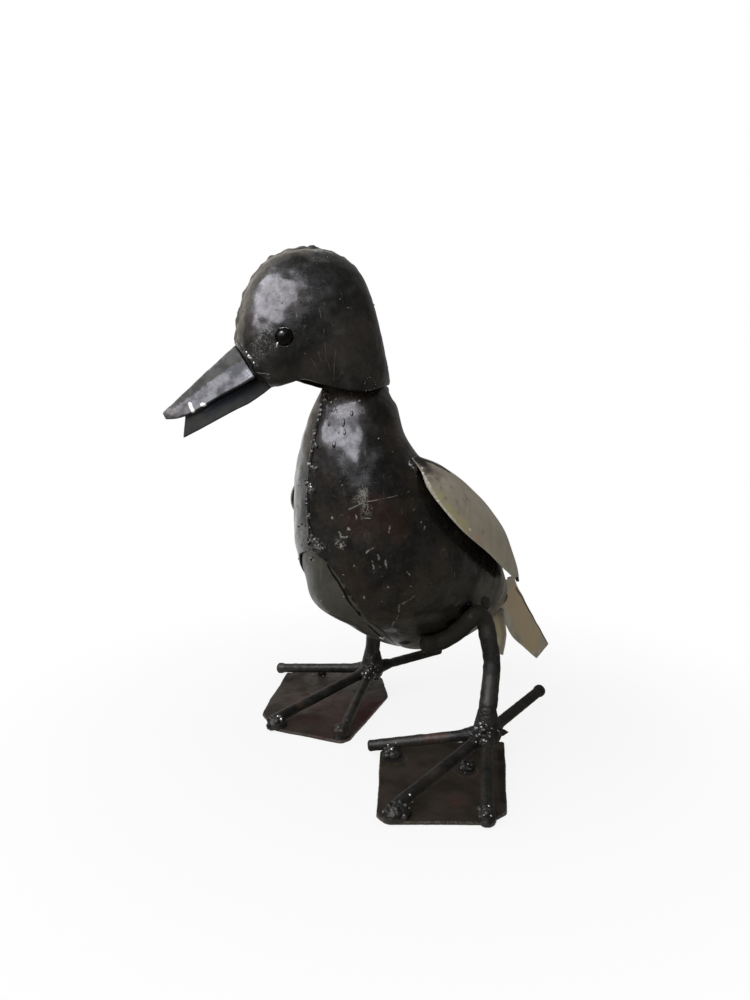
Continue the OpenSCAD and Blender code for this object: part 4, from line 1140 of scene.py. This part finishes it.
# Name, material and slot, voxel, unevenness, seed, smoothing, how high the drops stand, rows of x, y and radius
DROPS = {
    # The rounder lumps on the front of both ankles
    "ankle_glints": (weld_mat, "bare_weld", 0.3, 0.2, 119, 2, 0.75, [
        (481, 724, 1.9), (476.5, 729, 2.2), (484, 731, 2.5), (489.5, 736, 1.9), (478, 737, 2.1),
        (486.5, 725.5, 1.6), (472, 735, 1.7), (492, 729, 1.5), (484, 740, 1.8), (373, 664, 2.1),
        (368.5, 671, 2.2), (374, 673, 1.9), (366, 678, 1.9), (372, 679, 1.8), (363, 674, 1.6),
        (376, 667, 1.6)]),
    "seam_tacks": (weld_mat, "bare_weld", 0.3, 0.2, 101, 1, 0.8, [
        (326.5, 394, 1.3), (325.5, 400, 1.1), (321.6, 405, 1.5), (321, 410, 1.7), (320.5, 415, 1.3),
        (318.5, 420, 1.1), (315.5, 431, 1.5), (315, 434, 1.2), (314, 441, 1.5), (316, 445.5, 1.6),
        (312, 451, 1.0), (309.5, 464.7, 1.6), (312.5, 467.5, 1.3), (315.5, 469, 1.5), (308.3, 484, 1.7),
        (309.5, 488, 1.3), (312.5, 491.2, 1.8), (307, 500, 1.2), (306.8, 504, 1.1), (309.2, 516.6, 1.3),
        (310, 528, 0.9), (312.4, 536, 1.1), (315, 541, 1.5), (318, 543, 1.3), (320, 546, 1.3),
        (323, 549, 1.4), (311, 558, 1.2), (309, 543, 1.0)]),
    "wing_tip_blob": (weld_mat, "bare_weld", 0.3, 0.1, 113, 4, 1.0, [(516.5, 578.5, 1.6), (517.5, 580, 1.4)]),
    # Painted glints: bright lumps where bill and head meet, on the breast seam, at the gusset's lower end and
    # on the feet
    "painted_glints": (burr_and_glint_mat, "dark_steel", 0.25, 0.15, 115, 1, 0.5, [
        (246.5, 352.5, 0.9), (249.3, 356.5, 1.3), (251, 358, 0.8), (254, 363, 0.6), (380.5, 637.5, 1.0),
        (382.5, 638.5, 1.2), (384, 637.5, 0.8), (315.5, 441, 0.6), (316.8, 444.5, 0.8), (311, 487, 0.8),
        (312.8, 491, 1.0), (310.5, 484, 0.6), (309.5, 514, 0.5), (481, 727, 0.9), (484, 731, 0.7),
        (479, 735, 1.1), (482, 739, 0.8), (486, 741, 0.7), (476, 742, 0.5), (490, 733, 0.5),
        (483, 722, 0.5), (372, 664, 0.8), (371, 669, 0.7), (366, 673, 0.8), (369, 678, 0.6),
        (388, 745, 0.8), (392, 749, 1.0), (386, 755, 0.7), (396, 743, 0.6), (383, 757, 0.5),
        (461, 768, 0.5), (468, 764, 0.5), (465, 773, 0.5), (410, 795, 0.8), (412, 802, 0.9),
        (409, 808, 0.8), (489, 806, 0.6), (484, 815, 0.5), (491, 816, 0.8), (278, 716, 0.9),
        (281, 719, 0.8), (347, 720, 0.5), (313, 674.5, 0.6), (323, 676, 0.7)]),
}


def photo_drops(name, swell=1):
    material, slot, voxel, rough, seed, soft, flat, rows = DROPS[name]
    balls = drops([(x, y, swell * radius) for x, y, radius in rows], flat)
    lumps(name, balls, material, [], rough, seed, voxel, soft=soft)


# Finishes
BLACK = (0.004, 0.004, 0.004)


def steel_finish(material, seed, deep, warm, pale, rough, coat, marks, dents=0.35, patch=13,
        specular=0.26, grit=0.8):
    """Dark lacquered steel: brown and olive clouds, mottled gloss, hair scratches and bare edges.

    marks lays its colours over the shader's tone and gives back the share of bare metal and how
    dull it is there.
    """
    s = Shader(material, seed)
    cloud, mottle, grain = s.noise(34, 3), s.noise(8, 5, 0.65), s.noise(1.3, 3)
    s.tone = s.mix(s.band(cloud, 0.42, 0.66), deep, warm)
    s.over(pale, s.band(mottle, 0.52, 0.74), 0.5)
    scratch = s.most(s.hairs(9, (1, 1, 0.16), (8, 0, 20), 0.006),
        s.times(s.hairs(14, (1, 0.2, 1), (50, 10, 0), 0.004), 0.7))
    s.over((0.16, 0.15, 0.14), scratch, 0.35)
    bare_share, dull = marks(s)
    edge = s.times(s.worn(0.54, 0.62), s.band(mottle, 0.4, 0.6))
    s.over((0.10, 0.092, 0.08), edge, 0.45)
    gloss = s.ramp(s.band(mottle, 0.3, 0.7), 0.16, rough)
    gloss = s.ramp(s.band(grain, 0.35, 0.75), 0.08, gloss)
    gloss = s.ramp(s.most(scratch, bare_share, dull), 0.25, gloss)
    polish = s.times(s.speck(patch, 0.34, 0.58, 5, 0.58, 0.45, 1.25),
        s.speck(patch * 0.22, 0.35, 0.6, 4, 0.6, grit, 1.1))
    polish = s.times(polish, s.less(s.times(s.most(bare_share, dull), 0.85)))
    s.finish(gloss, s.ramp(bare_share, 0.5, 0.1), s.times(polish, coat), [(s.noise(24, 2), dents),
        (s.noise(9, 3, 0.5), 0.35 * dents), (s.noise(4, 3), 0.08), (s.noise(1.1, 3), 0.02),
        (s.less(scratch), 0.03)], s.times(polish, specular), Coat_Roughness=0.14)


# Pixels along the slit between bill and head, where its shade is painted black
BILL_SLIT = [(247.5, 356), (252, 365), (257.5, 377)]


def head_marks(s):
    brown = s.near([(247, 318, 5), (250, 300, 4), (302, 253, 3)], 3, 3, 6)
    s.over((0.035, 0.022, 0.017), brown, 0.6)
    s.over((0.034, 0.029, 0.023), s.near([(245, 300, 9), (243, 325, 8), (250, 280, 6)], 5, 3, 9), 0.6)
    scuff = s.times(s.near([(262, 338, 5), (259, 350, 6), (254, 360, 4), (268, 330, 4), (272, 346, 4)],
        3, 2.5, 3), s.speck(1.15, 0.45, 0.6, 4, 0.7))
    streaks = s.most(s.stroke([(319.5, 309), (321, 318)], 0.5, 1),
        s.stroke([(323.8, 329), (325, 345), (326, 362)], 0.4, 1.2),
        s.stroke([(335.5, 349), (334.3, 362), (333.8, 379)], 0.35, 1.2),
        s.stroke([(311, 357.8), (313.5, 362), (316.5, 367.8)], 0.35, 1),
        s.stroke([(327, 361), (331, 371)], 0.3, 1.2))
    s.over((0.11, 0.10, 0.09), streaks, 0.6)
    s.over((0.20, 0.20, 0.195), scuff, 0.6)
    # Painted shade: black in the gap round each eye ball and in the slit between bill and head
    rim = s.near([(on_head(EYE_AT, m), EYE_D / 2 + 0.35) for m in (False, True)], 0.25)
    slit_shade = s.stroke(BILL_SLIT, 1.2, 0.6)
    black = s.most(rim, slit_shade)
    s.over(BLACK, black)
    return s.most(s.times(scuff, 0.8), s.times(streaks, 0.5)), black


def body_marks(s):
    rust = s.near([(360, 517, 9), (372, 506, 7), (352, 525, 6), (384, 520, 9), (400, 530, 7)], 6, 5, 9)
    s.over((0.022, 0.0095, 0.0065), rust, 0.75)
    # Painted reflection: the rump lightened where it mirrors the pale floor behind
    rump = s.near([(492, 596, 8), (482, 588, 6), (500, 608, 6)], 8, 2, 9)
    s.over((0.060, 0.058, 0.045), rump, 0.85)
    side = s.near([(440, 610, 22), (420, 625, 14)], 12, 3, 12)
    s.over((0.017, 0.0165, 0.013), side, 0.6)
    # Painted reflection: the breast's left edge lightened where it mirrors the pale background
    left = s.near([(302, 500, 3), (304, 530, 4), (306, 470, 3), (312, 440, 2), (322, 400, 2),
        (317, 419, 2)], 6, 2, 9)
    s.over((0.052, 0.053, 0.043), left, 0.6)
    groove = s.stroke([(326.5, 394), (321, 410), (317, 430), (313.5, 450), (310, 470), (308, 500), (309, 520),
        (314, 538)], 1.5, 2.5)
    s.over((0.006, 0.006, 0.006), groove, 0.8)
    star = s.times(s.near([(363, 492, 3), (362, 501, 5), (366, 511, 4)], 2, 3, 3),
        s.most(s.hairs(2.6, (1, 1, 1), (0, 0, 0), 0.035, 0.3),
        s.hairs(4.5, (1, 0.3, 1), (30, 0, 40), 0.03, 0.3)))
    star = s.most(star, s.times(s.near([(363, 494, 2.6), (361, 500, 2.2)], 1.5, 2, 2),
        s.speck(0.9, 0.42, 0.55)))
    star = s.most(star, s.times(s.near([(316, 543, 4), (321, 547, 3.5), (341, 546, 2.2), (338, 541, 1.5)],
        1.5, 2, 2), s.speck(1.2, 0.48, 0.58)))
    scratch = s.stroke([(348.7, 509.5), (362, 503), (375.8, 500), (392, 497), (408.9, 491.8)], 0.42, 1.2)
    squiggle = s.stroke([(415.5, 595.8), (407.9, 600.4), (398.7, 605.8), (398.7, 615.7), (394, 621.8),
        (391.8, 628), (398.7, 634), (403.3, 635.6)], 0.9, 4.5)
    broken = s.speck(1.0, 0.4, 0.54, 3, 0.6)
    flecks = s.near([(341.9, 485.5, 0.4), (332, 518, 0.6), (348.7, 529, 1.0), (414.2, 510, 0.5),
        (421.3, 521.9, 0.5), (341, 546, 1.0), (392.4, 451.7, 0.4), (380.3, 567, 0.3), (382.6, 576, 0.3),
        (354.3, 566, 0.5), (342.8, 574.4, 0.4), (410.9, 586.6, 0.5), (388, 587.4, 0.6), (364.2, 597.3, 0.7),
        (381.8, 601.5, 0.3), (420, 632, 0.4)], 0.4, 0.8, 1.3)
    for a, b in (((355.5, 515.5), (357, 519)), ((390, 527), (389.2, 532.5)), ((385.5, 560), (386.4, 568)),
            ((374, 547.5), (370, 550.5)), ((370, 550.5), (366.5, 552.5)), ((373, 561), (373.6, 569)),
            ((339.5, 531), (340.5, 538)), ((424.6, 526), (423.5, 529)), ((406.8, 571.5), (409.5, 575)),
            ((338, 541), (334.5, 544.5)), ((377, 555), (379, 559)), ((341, 538), (347, 537))):
        flecks = s.most(flecks, s.times(s.stroke([a, b], 0.8, 3.0), broken))
    dash = s.stroke([(364.5, 518.2), (370.2, 518.4)], 0.35)
    other = s.near(scattered(121, 16, 0.15, 0.9, 0.6), 0.25, 0.7, 1.6)
    powder = s.times(s.speck(26, 0.52, 0.62, 2), s.speck(1.5, 0.66, 0.72, 4, 0.7))
    marks = s.most(s.times(scratch, 0.8), s.times(squiggle, 0.6, broken), s.times(star, 0.8), flecks, dash,
        other, s.times(powder, 0.35))
    s.over((0.27, 0.26, 0.225), marks, 0.9)
    # Soot and painted shade: black round the leg's top and along the belly under the bar, joined with the
    # painted gap shade along the gusset
    soot_and_shade = s.most(s.near([(455, 628, 7), (440, 640, 7), (425, 643, 6), (470, 612, 7), (478, 607, 6),
        (486, 608, 5), (405, 643, 4)], 1.5, 1.2, 5), gusset_gap_shade(s))
    s.over((0.004, 0.004, 0.0038), soot_and_shade)
    belly = s.near([(385, 625, 12), (400, 632, 12), (420, 630, 13), (445, 620, 13), (470, 600, 12),
        (492, 596, 10)], 8, 3, 8)
    return s.times(marks, 0.7, s.less(soot_and_shade)), s.most(soot_and_shade, groove, s.times(belly, 0.6))


def gusset_gap_shade(s):
    """Black line along the gusset's edge: painted shade of the gap between the panels."""
    return s.stroke([(326, 560), (328, 566), (332, 573), (339, 583), (344, 592), (349, 602), (359, 613),
        (371, 628), (380, 636)], 1.3, 1.2)


def gusset_marks(s):
    chips = s.near([(320.6, 600.9, 0.6), (349.7, 603.2, 0.5), (343.6, 596.6, 0.35), (352, 606, 0.4),
        (313, 560, 0.7)], 0.3, 0.3, 1.2)
    s.over((0.3, 0.28, 0.24), chips)
    beyond = s.near([(333, 566, 2.2), (337, 573, 2.6), (343, 582, 3.4), (349, 591, 3.6), (355, 600, 3.8),
        (362, 609, 3.6), (369, 617, 3.4), (376, 625, 3.2), (384, 633, 3)], 0.6, 0.4, 3)
    s.over((0.014, 0.0125, 0.010), beyond)
    # Painted shade of the gap along the gusset's edge
    gap = gusset_gap_shade(s)
    s.over((0.003, 0.003, 0.003), gap)
    return s.times(chips, 0.7), s.most(gap, s.times(beyond, 0.8))


def bill_marks(s):
    share = np.linspace(0, 1, 22)
    # Painted shade: the bill's top band, which turns away from the light, is coloured dull olive
    band = s.near(zip(240.5 - 70 * share, 351.5 + 56 * share, 5.4 - 3.4 * share), 0.8, 1.3, 7)
    s.over((0.034, 0.034, 0.027), band, 0.85)
    chips = s.most(s.stroke([(190, 404), (191.5, 408), (193.5, 412)], 1.7, 1.2),
        s.near([(201.8, 404.5, 1.2), (204.5, 405, 1.3)], 0.3, 0.6, 1.3))
    tip = s.times(s.near([(168, 412, 3.5), (176, 412, 3.5), (184, 409, 3)], 3, 2, 3),
        s.speck(1.6, 0.42, 0.56, 4, 0.7))
    # Painted highlight: speckled blue-grey sheen near the bill's lower edge and base
    grain = s.times(s.near([(232, 392, 2.5), (222, 397, 2.5), (243, 386, 2.5), (250, 372, 3.5)], 2, 2, 3),
        s.speck(1.2, 0.45, 0.56, 4, 0.7))
    s.over((0.14, 0.12, 0.10), tip, 0.6)
    s.over((0.30, 0.31, 0.33), grain, 0.6)
    slit_shade = s.stroke(BILL_SLIT, 0.8, 0.6)
    s.over(BLACK, slit_shade)
    s.over((0.62, 0.61, 0.58), chips)
    return s.most(s.times(chips, 0.2), s.times(tip, 0.5)), s.most(s.times(band, 0.85), s.times(tip, 0.8), slit_shade)


def lower_marks(s):
    upper = s.stroke([(252, 386), (237, 394), (222, 402), (208, 411)], 5.5, 1.0)
    s.over((0.026, 0.028, 0.033), upper)
    # Painted highlight: a light line along the lower bill
    shine = s.stroke([(250, 384), (235, 393), (220, 401), (205, 411)], 0.5, 1.0)
    s.over((0.10, 0.11, 0.13), shine, 0.6)
    return s.times(shine, 0.3), s.less(shine)


def bar_marks(s):
    # Painted highlight: tan patches on the toes
    toe_highlight = s.near([(428, 735.5, 4), (435, 734.5, 4), (443, 733.5, 3), (300, 705, 2), (350, 705, 2)], 4, 1.5, 5)
    s.over((0.085, 0.048, 0.033), toe_highlight, 0.75)
    # Soot and painted shade on the bar where it runs under the belly: an even dark tone with a dull finish
    soot_and_shade = s.near([(462, 624, 9), (446, 636, 9), (428, 643, 9), (478, 612, 7), (414, 645, 7)], 3, 2, 5)
    s.over((0.021, 0.019, 0.015), soot_and_shade)
    return s.times(toe_highlight, 0.1), soot_and_shade


def weld_finish():
    s = Shader(weld_mat, 7)
    lump, fine = s.noise(4.5, 4, 0.65), s.noise(1.2, 3)
    s.tone = s.mix(s.band(lump, 0.4, 0.6), (0.010, 0.010, 0.0095), (0.030, 0.027, 0.023))
    glint = s.times(s.speck(2.2, 0.56, 0.64), s.worn(0.51, 0.57))
    s.over((0.36, 0.35, 0.33), glint, 0.8)
    hollow = s.worn(0.5, 0.44)
    s.over((0.005, 0.005, 0.005), hollow, 0.8)
    s.finish(s.ramp(fine, 0.3, 0.2), s.ramp(glint, 0.5, 0.15), s.band(lump, 0.4, 0.62, 0.05, 0.6),
             [(lump, 0.25), (fine, 0.1)], s.band(lump, 0.35, 0.6, 0.2, 0.5), Coat_Roughness=0.12)


def cream_finish():
    s = Shader(cream, 3)
    cloud, fine, grime = s.noise(30, 4), s.noise(1.4, 4, 0.6), s.noise(7, 5, 0.65)
    s.tone = s.mix(s.band(cloud, 0.35, 0.65), (0.255, 0.224, 0.168), (0.32, 0.285, 0.225))
    wipe = s.noise(12, 4, 0.6, 0.5, s.stretched((1, 1, 0.3), (25, 0, 0)))
    s.over((0.15, 0.125, 0.09), s.band(wipe, 0.5, 0.68), 0.35)
    s.over((0.14, 0.12, 0.1), s.band(grime, 0.58, 0.7), 0.45)
    burnt = s.near([(413, 457, 6), (418, 459, 6), (423, 463, 5), (427, 470, 3)], 3, 1.8, 4)
    strip = s.stroke([(418, 459), (424, 460), (431, 462), (437, 465), (443, 468), (448, 471)], 3, 1)
    s.over((0.014, 0.012, 0.010), s.most(burnt, strip))
    s.over((0.07, 0.05, 0.038), s.near([(437, 478, 3), (432, 480, 2.5), (430, 472, 4), (437, 473, 4)], 4, 3, 4),
        0.6)
    olive = s.near([(500, 548, 12), (508, 562, 12), (488, 530, 8)], 12, 3, 12)
    s.over((0.19, 0.168, 0.105), olive, 0.5)
    yellow = s.near([(455, 515, 3), (462, 522, 3.5), (467, 528, 2.5), (440, 497, 2.5),
        (448, 508, 2.5)], 4, 3, 5)
    s.over((0.32, 0.29, 0.10), yellow, 0.6)
    # Wear and painted highlight: the wing's lower edge lightened to cream-white
    pale = s.stroke([(425, 476), (431, 488), (438, 500), (446, 511), (455, 521)], 1.3, 1.8)
    s.over((0.50, 0.47, 0.40), pale, 0.8, s.band(fine, 0.4, 0.6))
    orange = s.near([(477.7, 538.2, 1.2), (480, 541, 0.8)], 1.6, 1, 2)
    s.over((0.42, 0.19, 0.09), orange, 0.7)
    stain = s.near([(446, 499, 1.4), (467, 499, 1.2), (458, 512, 1.1), (483, 532, 1.6), (441, 488, 1.2),
        (452, 487, 0.8)], 1.4, 1.6, 2)
    s.over((0.10, 0.075, 0.075), stain, 0.5)
    tail_side = s.near([(515, 600, 14), (522, 618, 14), (532, 638, 14), (500, 625, 6)], 4, 1, 9)
    s.over((0.32, 0.25, 0.145), tail_side, 0.9)
    # Painted shadow: dark olive where the tail meets the rump
    seat = s.near([(505, 583, 3), (503, 592, 2.5), (502, 600, 1.5)], 2, 1.5, 4)
    s.over((0.035, 0.035, 0.025), seat, 0.85)
    # Painted light: the under plate is lightened here, where it sits in the body's shade
    fold = s.stroke([(496, 618), (498, 630), (498, 642)], 5, 1.5)
    s.over((0.43, 0.37, 0.22), fold, 0.85)
    rust = s.stroke([(516, 588), (532, 615), (548, 642)], 1.3, 0.8)
    s.over((0.030, 0.024, 0.016), rust, 0.85)
    edge = s.times(s.worn(0.52, 0.58), s.band(grime, 0.35, 0.6))
    s.over((0.36, 0.34, 0.28), edge, 0.6)
    # Wear and painted highlight: bright spots along the wing's lower edge
    bright = s.near([(470, 529.7, 0.8), (423, 473, 0.9), (428.5, 483, 1.1), (430, 486, 0.9), (422, 468, 0.7),
        (437, 501, 0.8), (426, 479, 0.7)], 0.3, 0.6, 1.2)
    s.over((0.55, 0.47, 0.40), bright)
    dust = s.times(s.dots(2.6, 0.12), s.speck(18, 0.5, 0.6, 2))
    s.over((0.08, 0.07, 0.06), dust, 0.5)
    s.finish(s.ramp(fine, 0.22, 0.42), None, None,
             [(grime, 0.10), (fine, 0.03)], Specular_IOR_Level=0.35)


def back_finish():
    s = Shader(wing_back, 4)
    s.tone = s.mix(s.speck(14, 0.4, 0.65, 4), (0.010, 0.010, 0.008), (0.028, 0.024, 0.018))
    s.finish(s.speck(3, 0.3, 0.7, 4, 0.55, 0.45, 0.7), None, None, [(s.noise(2.5, 4), 0.08)],
        Specular_IOR_Level=0.3)


def plate_finish():
    s = Shader(plate_mat, 5)
    cloud, blotch, fine = s.noise(22, 3), s.noise(7, 5, 0.7), s.noise(1.3, 4, 0.65)
    s.tone = s.mix(s.band(cloud, 0.38, 0.62), (0.025, 0.020, 0.014), (0.034, 0.024, 0.016))
    s.over((0.045, 0.020, 0.015), s.band(blotch, 0.55, 0.7), 0.55)
    far = s.near([(350, 705, 30), (320, 702, 26), (298, 712, 18), (335, 726, 20)], 12, 4, 14)
    s.over((0.056, 0.029, 0.025), far, 0.8)
    s.over((0.066, 0.014, 0.017), s.near([(372, 703, 14), (362, 715, 9)], 9, 3, 9), 0.75)
    red = s.near([(455, 800, 5), (343, 703, 5), (352, 700, 4), (378, 708, 4)], 5, 4, 6)
    s.over((0.055, 0.018, 0.012), red, 0.7)
    halo = s.near([(394, 752, 10.5), (466, 768, 8.8), (395, 806, 11.5), (486, 806, 9)], 0.9, 0.6, 3)
    inner = s.near([(394, 752, 9.2), (466, 768, 7.6), (395, 806, 10.2), (486, 806, 7.8)], 0.9, 0.6, 3)
    ring = s.times(halo, s.less(inner))
    s.over((0.12, 0.10, 0.06), ring, 0.4, s.band(blotch, 0.4, 0.55))
    s.over((0.020, 0.019, 0.021), inner, 0.5)
    # Painted shadow: black strip on the near plate beside the outer toe
    s.over((0.005, 0.005, 0.0045), s.stroke([(503, 752), (505, 768), (507, 785), (507, 800)], 6, 1.2), 0.85)
    flecks = s.times(s.dots(3.2, 0.10), s.speck(12, 0.52, 0.6, 2))
    s.over((0.12, 0.11, 0.09), flecks, 0.5)
    # Worn edges, lightened further as a painted highlight along the plates' rims
    edge = s.times(s.worn(0.51, 0.57), s.band(fine, 0.4, 0.6))
    s.over((0.14, 0.12, 0.10), edge, 0.8)
    s.finish(s.band(blotch, 0.3, 0.7, 0.6, 0.42), None, s.band(cloud, 0.3, 0.6, 0.0, 0.06),
             [(blotch, 0.2), (fine, 0.05)], s.band(cloud, 0.35, 0.6, 0.08, 0.2), Coat_Roughness=0.3)


def eye_finish():
    s = Shader(eye_mat, 6)
    wet = s.near([(on_head(EYE_AT + 3.4 * EYE_OUT + np.array([0, y, z]), m), 1.15)
                  for m in (False, True) for y, z in ((-3.1, 2.9), (-1.9, 3.5))], 0.5, 0.2, 2)
    s.tone = s.mix(s.speck(3, 0.4, 0.6), BLACK, (0.010, 0.009, 0.008))
    s.finish(s.speck(1.5, 0.3, 0.7, 3, 0.55, 0.05, 0.12), None, s.ramp(wet, 0.97, 0.03),
        [(s.noise(2, 2), 0.03)], s.ramp(wet, 0.95, 0.03), Coat_Roughness=0.03)


# Bright metal for the eye burrs, and for the painted glints
def burr_and_glint_finish():
    s = Shader(burr_and_glint_mat, 8)
    s.tone = s.mix(s.speck(1.2, 0.4, 0.6), (0.45, 0.44, 0.42), (0.75, 0.74, 0.72))
    s.finish(s.speck(0.6, 0.3, 0.7, 2, 0.55, 0.25, 0.45), s.speck(0.9, 0.3, 0.7, 2, 0.55, 0.35, 0.6), None,
        [(s.noise(0.5, 2), 0.05)])


toe_lumps("left", [(392, 747, 0, 7.5, 7), (467, 767, 1, 6.5, 5.5), (397, 804, 1, 10.5, 8),
    (487, 806, 2, 8.5, 6)], 97)
toe_lumps("right", [(322, 674, 0, 4.5, 3), (277, 716, 1, 9, 6.5), (341, 724, 2, 9, 6)], 98)
SHELLS = shell_tree("toe_lumps")
photo_drops("ankle_glints")
photo_drops("seam_tacks", 1.45)
neck_drips()
nape_crater()
spatter()
for side in SIDES:
    eye_burr(side)
photo_drops("wing_tip_blob")
photo_drops("painted_glints")
steel_finish(head_steel, 1, (0.0095, 0.0098, 0.009), (0.024, 0.0205, 0.017), (0.032, 0.030, 0.024),
    0.22, 0.42, head_marks)
steel_finish(body_steel, 2, (0.008, 0.008, 0.0075), (0.020, 0.0145, 0.0095), (0.024, 0.022, 0.016),
    0.2, 0.45, body_marks)
steel_finish(gusset_steel, 9, (0.047, 0.046, 0.035), (0.06, 0.052, 0.040), (0.07, 0.067, 0.052),
    0.36, 0.2, gusset_marks)
steel_finish(bill_steel, 10, (0.018, 0.020, 0.022), (0.030, 0.033, 0.034), (0.05, 0.052, 0.054), 0.2, 0.3,
    bill_marks, 0.16, 9, 0.24, 0.9)
steel_finish(lower_steel, 13, (0.030, 0.031, 0.030), (0.040, 0.040, 0.036), (0.050, 0.050, 0.045), 0.4, 0.1,
    lower_marks, 0.15, 6, 0.25)
steel_finish(bar_steel, 12, (0.012, 0.012, 0.0100), (0.024, 0.020, 0.0155), (0.034, 0.030, 0.024), 0.42, 0.06,
    bar_marks, 0.12, 8, 0.2)
weld_finish()
cream_finish()
back_finish()
plate_finish()
eye_finish()
burr_and_glint_finish()


# Light, reflections and floor
def stage_light(name, place, target, size, radiance, seen_by):
    """Rectangular lamp of an even brightness, seen by diffuse or by glossy rays only."""
    data = bpy.data.lights.new(name, "AREA")
    data.shape, data.size, data.size_y = "RECTANGLE", *size
    data.energy = radiance * math.pi * size[0] * size[1]
    obj = add(name, data)
    obj.location = place
    obj.rotation_euler = (Vector(target) - Vector(place)).to_track_quat("-Z", "Y").to_euler()
    obj.visible_camera = False
    obj.visible_diffuse = seen_by == "diffuse"
    obj.visible_glossy = seen_by == "glossy"
    return data


MIDST = np.array([0.0, -0.03, 0.2])


def toward(left, up):
    """Direction so many degrees to the camera's left of the camera and above level."""
    a, e = math.radians(CAMERA_TURN - 90 - left), math.radians(up)
    return np.array([math.cos(a) * math.cos(e), math.sin(a) * math.cos(e), math.sin(e)])


def glow(name, colour, strength):
    m = bare(name)
    m.node_tree.nodes.clear()
    s = Nodes(m.node_tree)
    out, lit = s.node("ShaderNodeOutputMaterial"), s.node("ShaderNodeEmission")
    s.feed_all(lit, {"Color": colour, "Strength": strength})
    s.feed(out.inputs["Surface"], lit.outputs[0])
    return m


def card(name, grid, colour, strength):
    """Curved studio card over a grid of points that only reflections see."""
    grid = np.array(grid)
    obj = add(name, mesh_of(name, grid.reshape(-1, 3), grid_faces(*grid.shape[:2])))
    obj.data.materials.append(glow(name, colour, strength))
    obj.visible_camera = obj.visible_diffuse = obj.visible_transmission = obj.visible_shadow = False


FILL, KEY, WINDOW = 0.5, 1.5, 7.5
FLOOR_FADE = (0.12, 0.40, 0.84, 1.0)  # metres from the middle, share of white there
CARD_FAR = 1.5
# Name, how far left and up of the camera the card reaches, colour and strength
CARDS = [
    ("card_right", (-105, 2), (-8, 72), (1.0, 0.93, 0.82), 0.10),
    ("card_top", (-105, 175), (72, 89), (1.0, 0.96, 0.88), 0.22),
    ("card_over", (2, 104), (66, 72), (1.0, 0.98, 0.95), 0.15),
    ("card_low", (2, 104), (-8, 18), (1.0, 0.95, 0.86), 0.12),
    ("card_behind_right", (-178, -105), (-8, 72), (1.0, 0.98, 0.95), 0.20),
    ("card_behind_left", (104, 178), (4, 72), (1.0, 0.93, 0.82), 0.7),
]


def light():
    world = bpy.data.worlds.new("world")
    bpy.context.scene.world = world
    world.use_nodes = True
    s = Nodes(world.node_tree)
    s.feed_all(s.tree.nodes["Background"], {
        "Color": (1, 1, 1), "Strength": s.band(s.pale_rays(), 0, 1, FILL, 1.0, "LINEAR")})
    stage_light("key", MIDST + 0.95 * toward(50, 30), MIDST, (1.8, 0.85), KEY, "diffuse")
    window = stage_light("window", MIDST + 0.9 * toward(44, 43), MIDST, (1.36, 0.84), WINDOW, "glossy")
    window.color = (0.92, 0.90, 1.0)
    for name, left, up, colour, strength in CARDS:
        card(name, [[MIDST + CARD_FAR * toward(a, e) for a in np.linspace(*left, 25)]
            for e in np.linspace(*up, 13)], colour, strength)
    # What the floor in front of the duck gives back to its underside
    card("card_floor", [[r * toward(a, 0) + [0, 0, 0.004] for a in np.linspace(-178, 100, 33)]
        for r in (0.01, 0.3, 0.6, 1.0, 1.5)], (1.0, 0.93, 0.82), 0.18)


def floor():
    """Pale matt floor that fades to white away from the duck."""
    obj = add("floor", mesh_of("floor", [(-6, -6, 0), (6, -6, 0), (6, 6, 0), (-6, 6, 0)], [[0, 1, 2, 3]]))
    m = bare("floor")
    obj.data.materials.append(m)
    s = Nodes(m.node_tree)
    bsdf, out = (s.tree.nodes[name] for name in ("Principled BSDF", "Material Output"))
    mix = s.node("ShaderNodeMixShader")
    s.feed_all(bsdf, {"Base Color": (0.9, 0.9, 0.9), "Roughness": 0.9, "Specular IOR Level": 0.0})
    away = s.vector("LENGTH", s.node("ShaderNodeTexCoord").outputs["Object"])
    s.feed_all(mix, {0: s.times(s.band(away, *FLOOR_FADE), s.pale_rays()), 1: bsdf.outputs[0],
        2: s.node("ShaderNodeEmission").outputs[0]})
    s.feed(out.inputs["Surface"], mix.outputs[0])


light()
floor()

bpy.context.scene.view_settings.view_transform = "Standard"
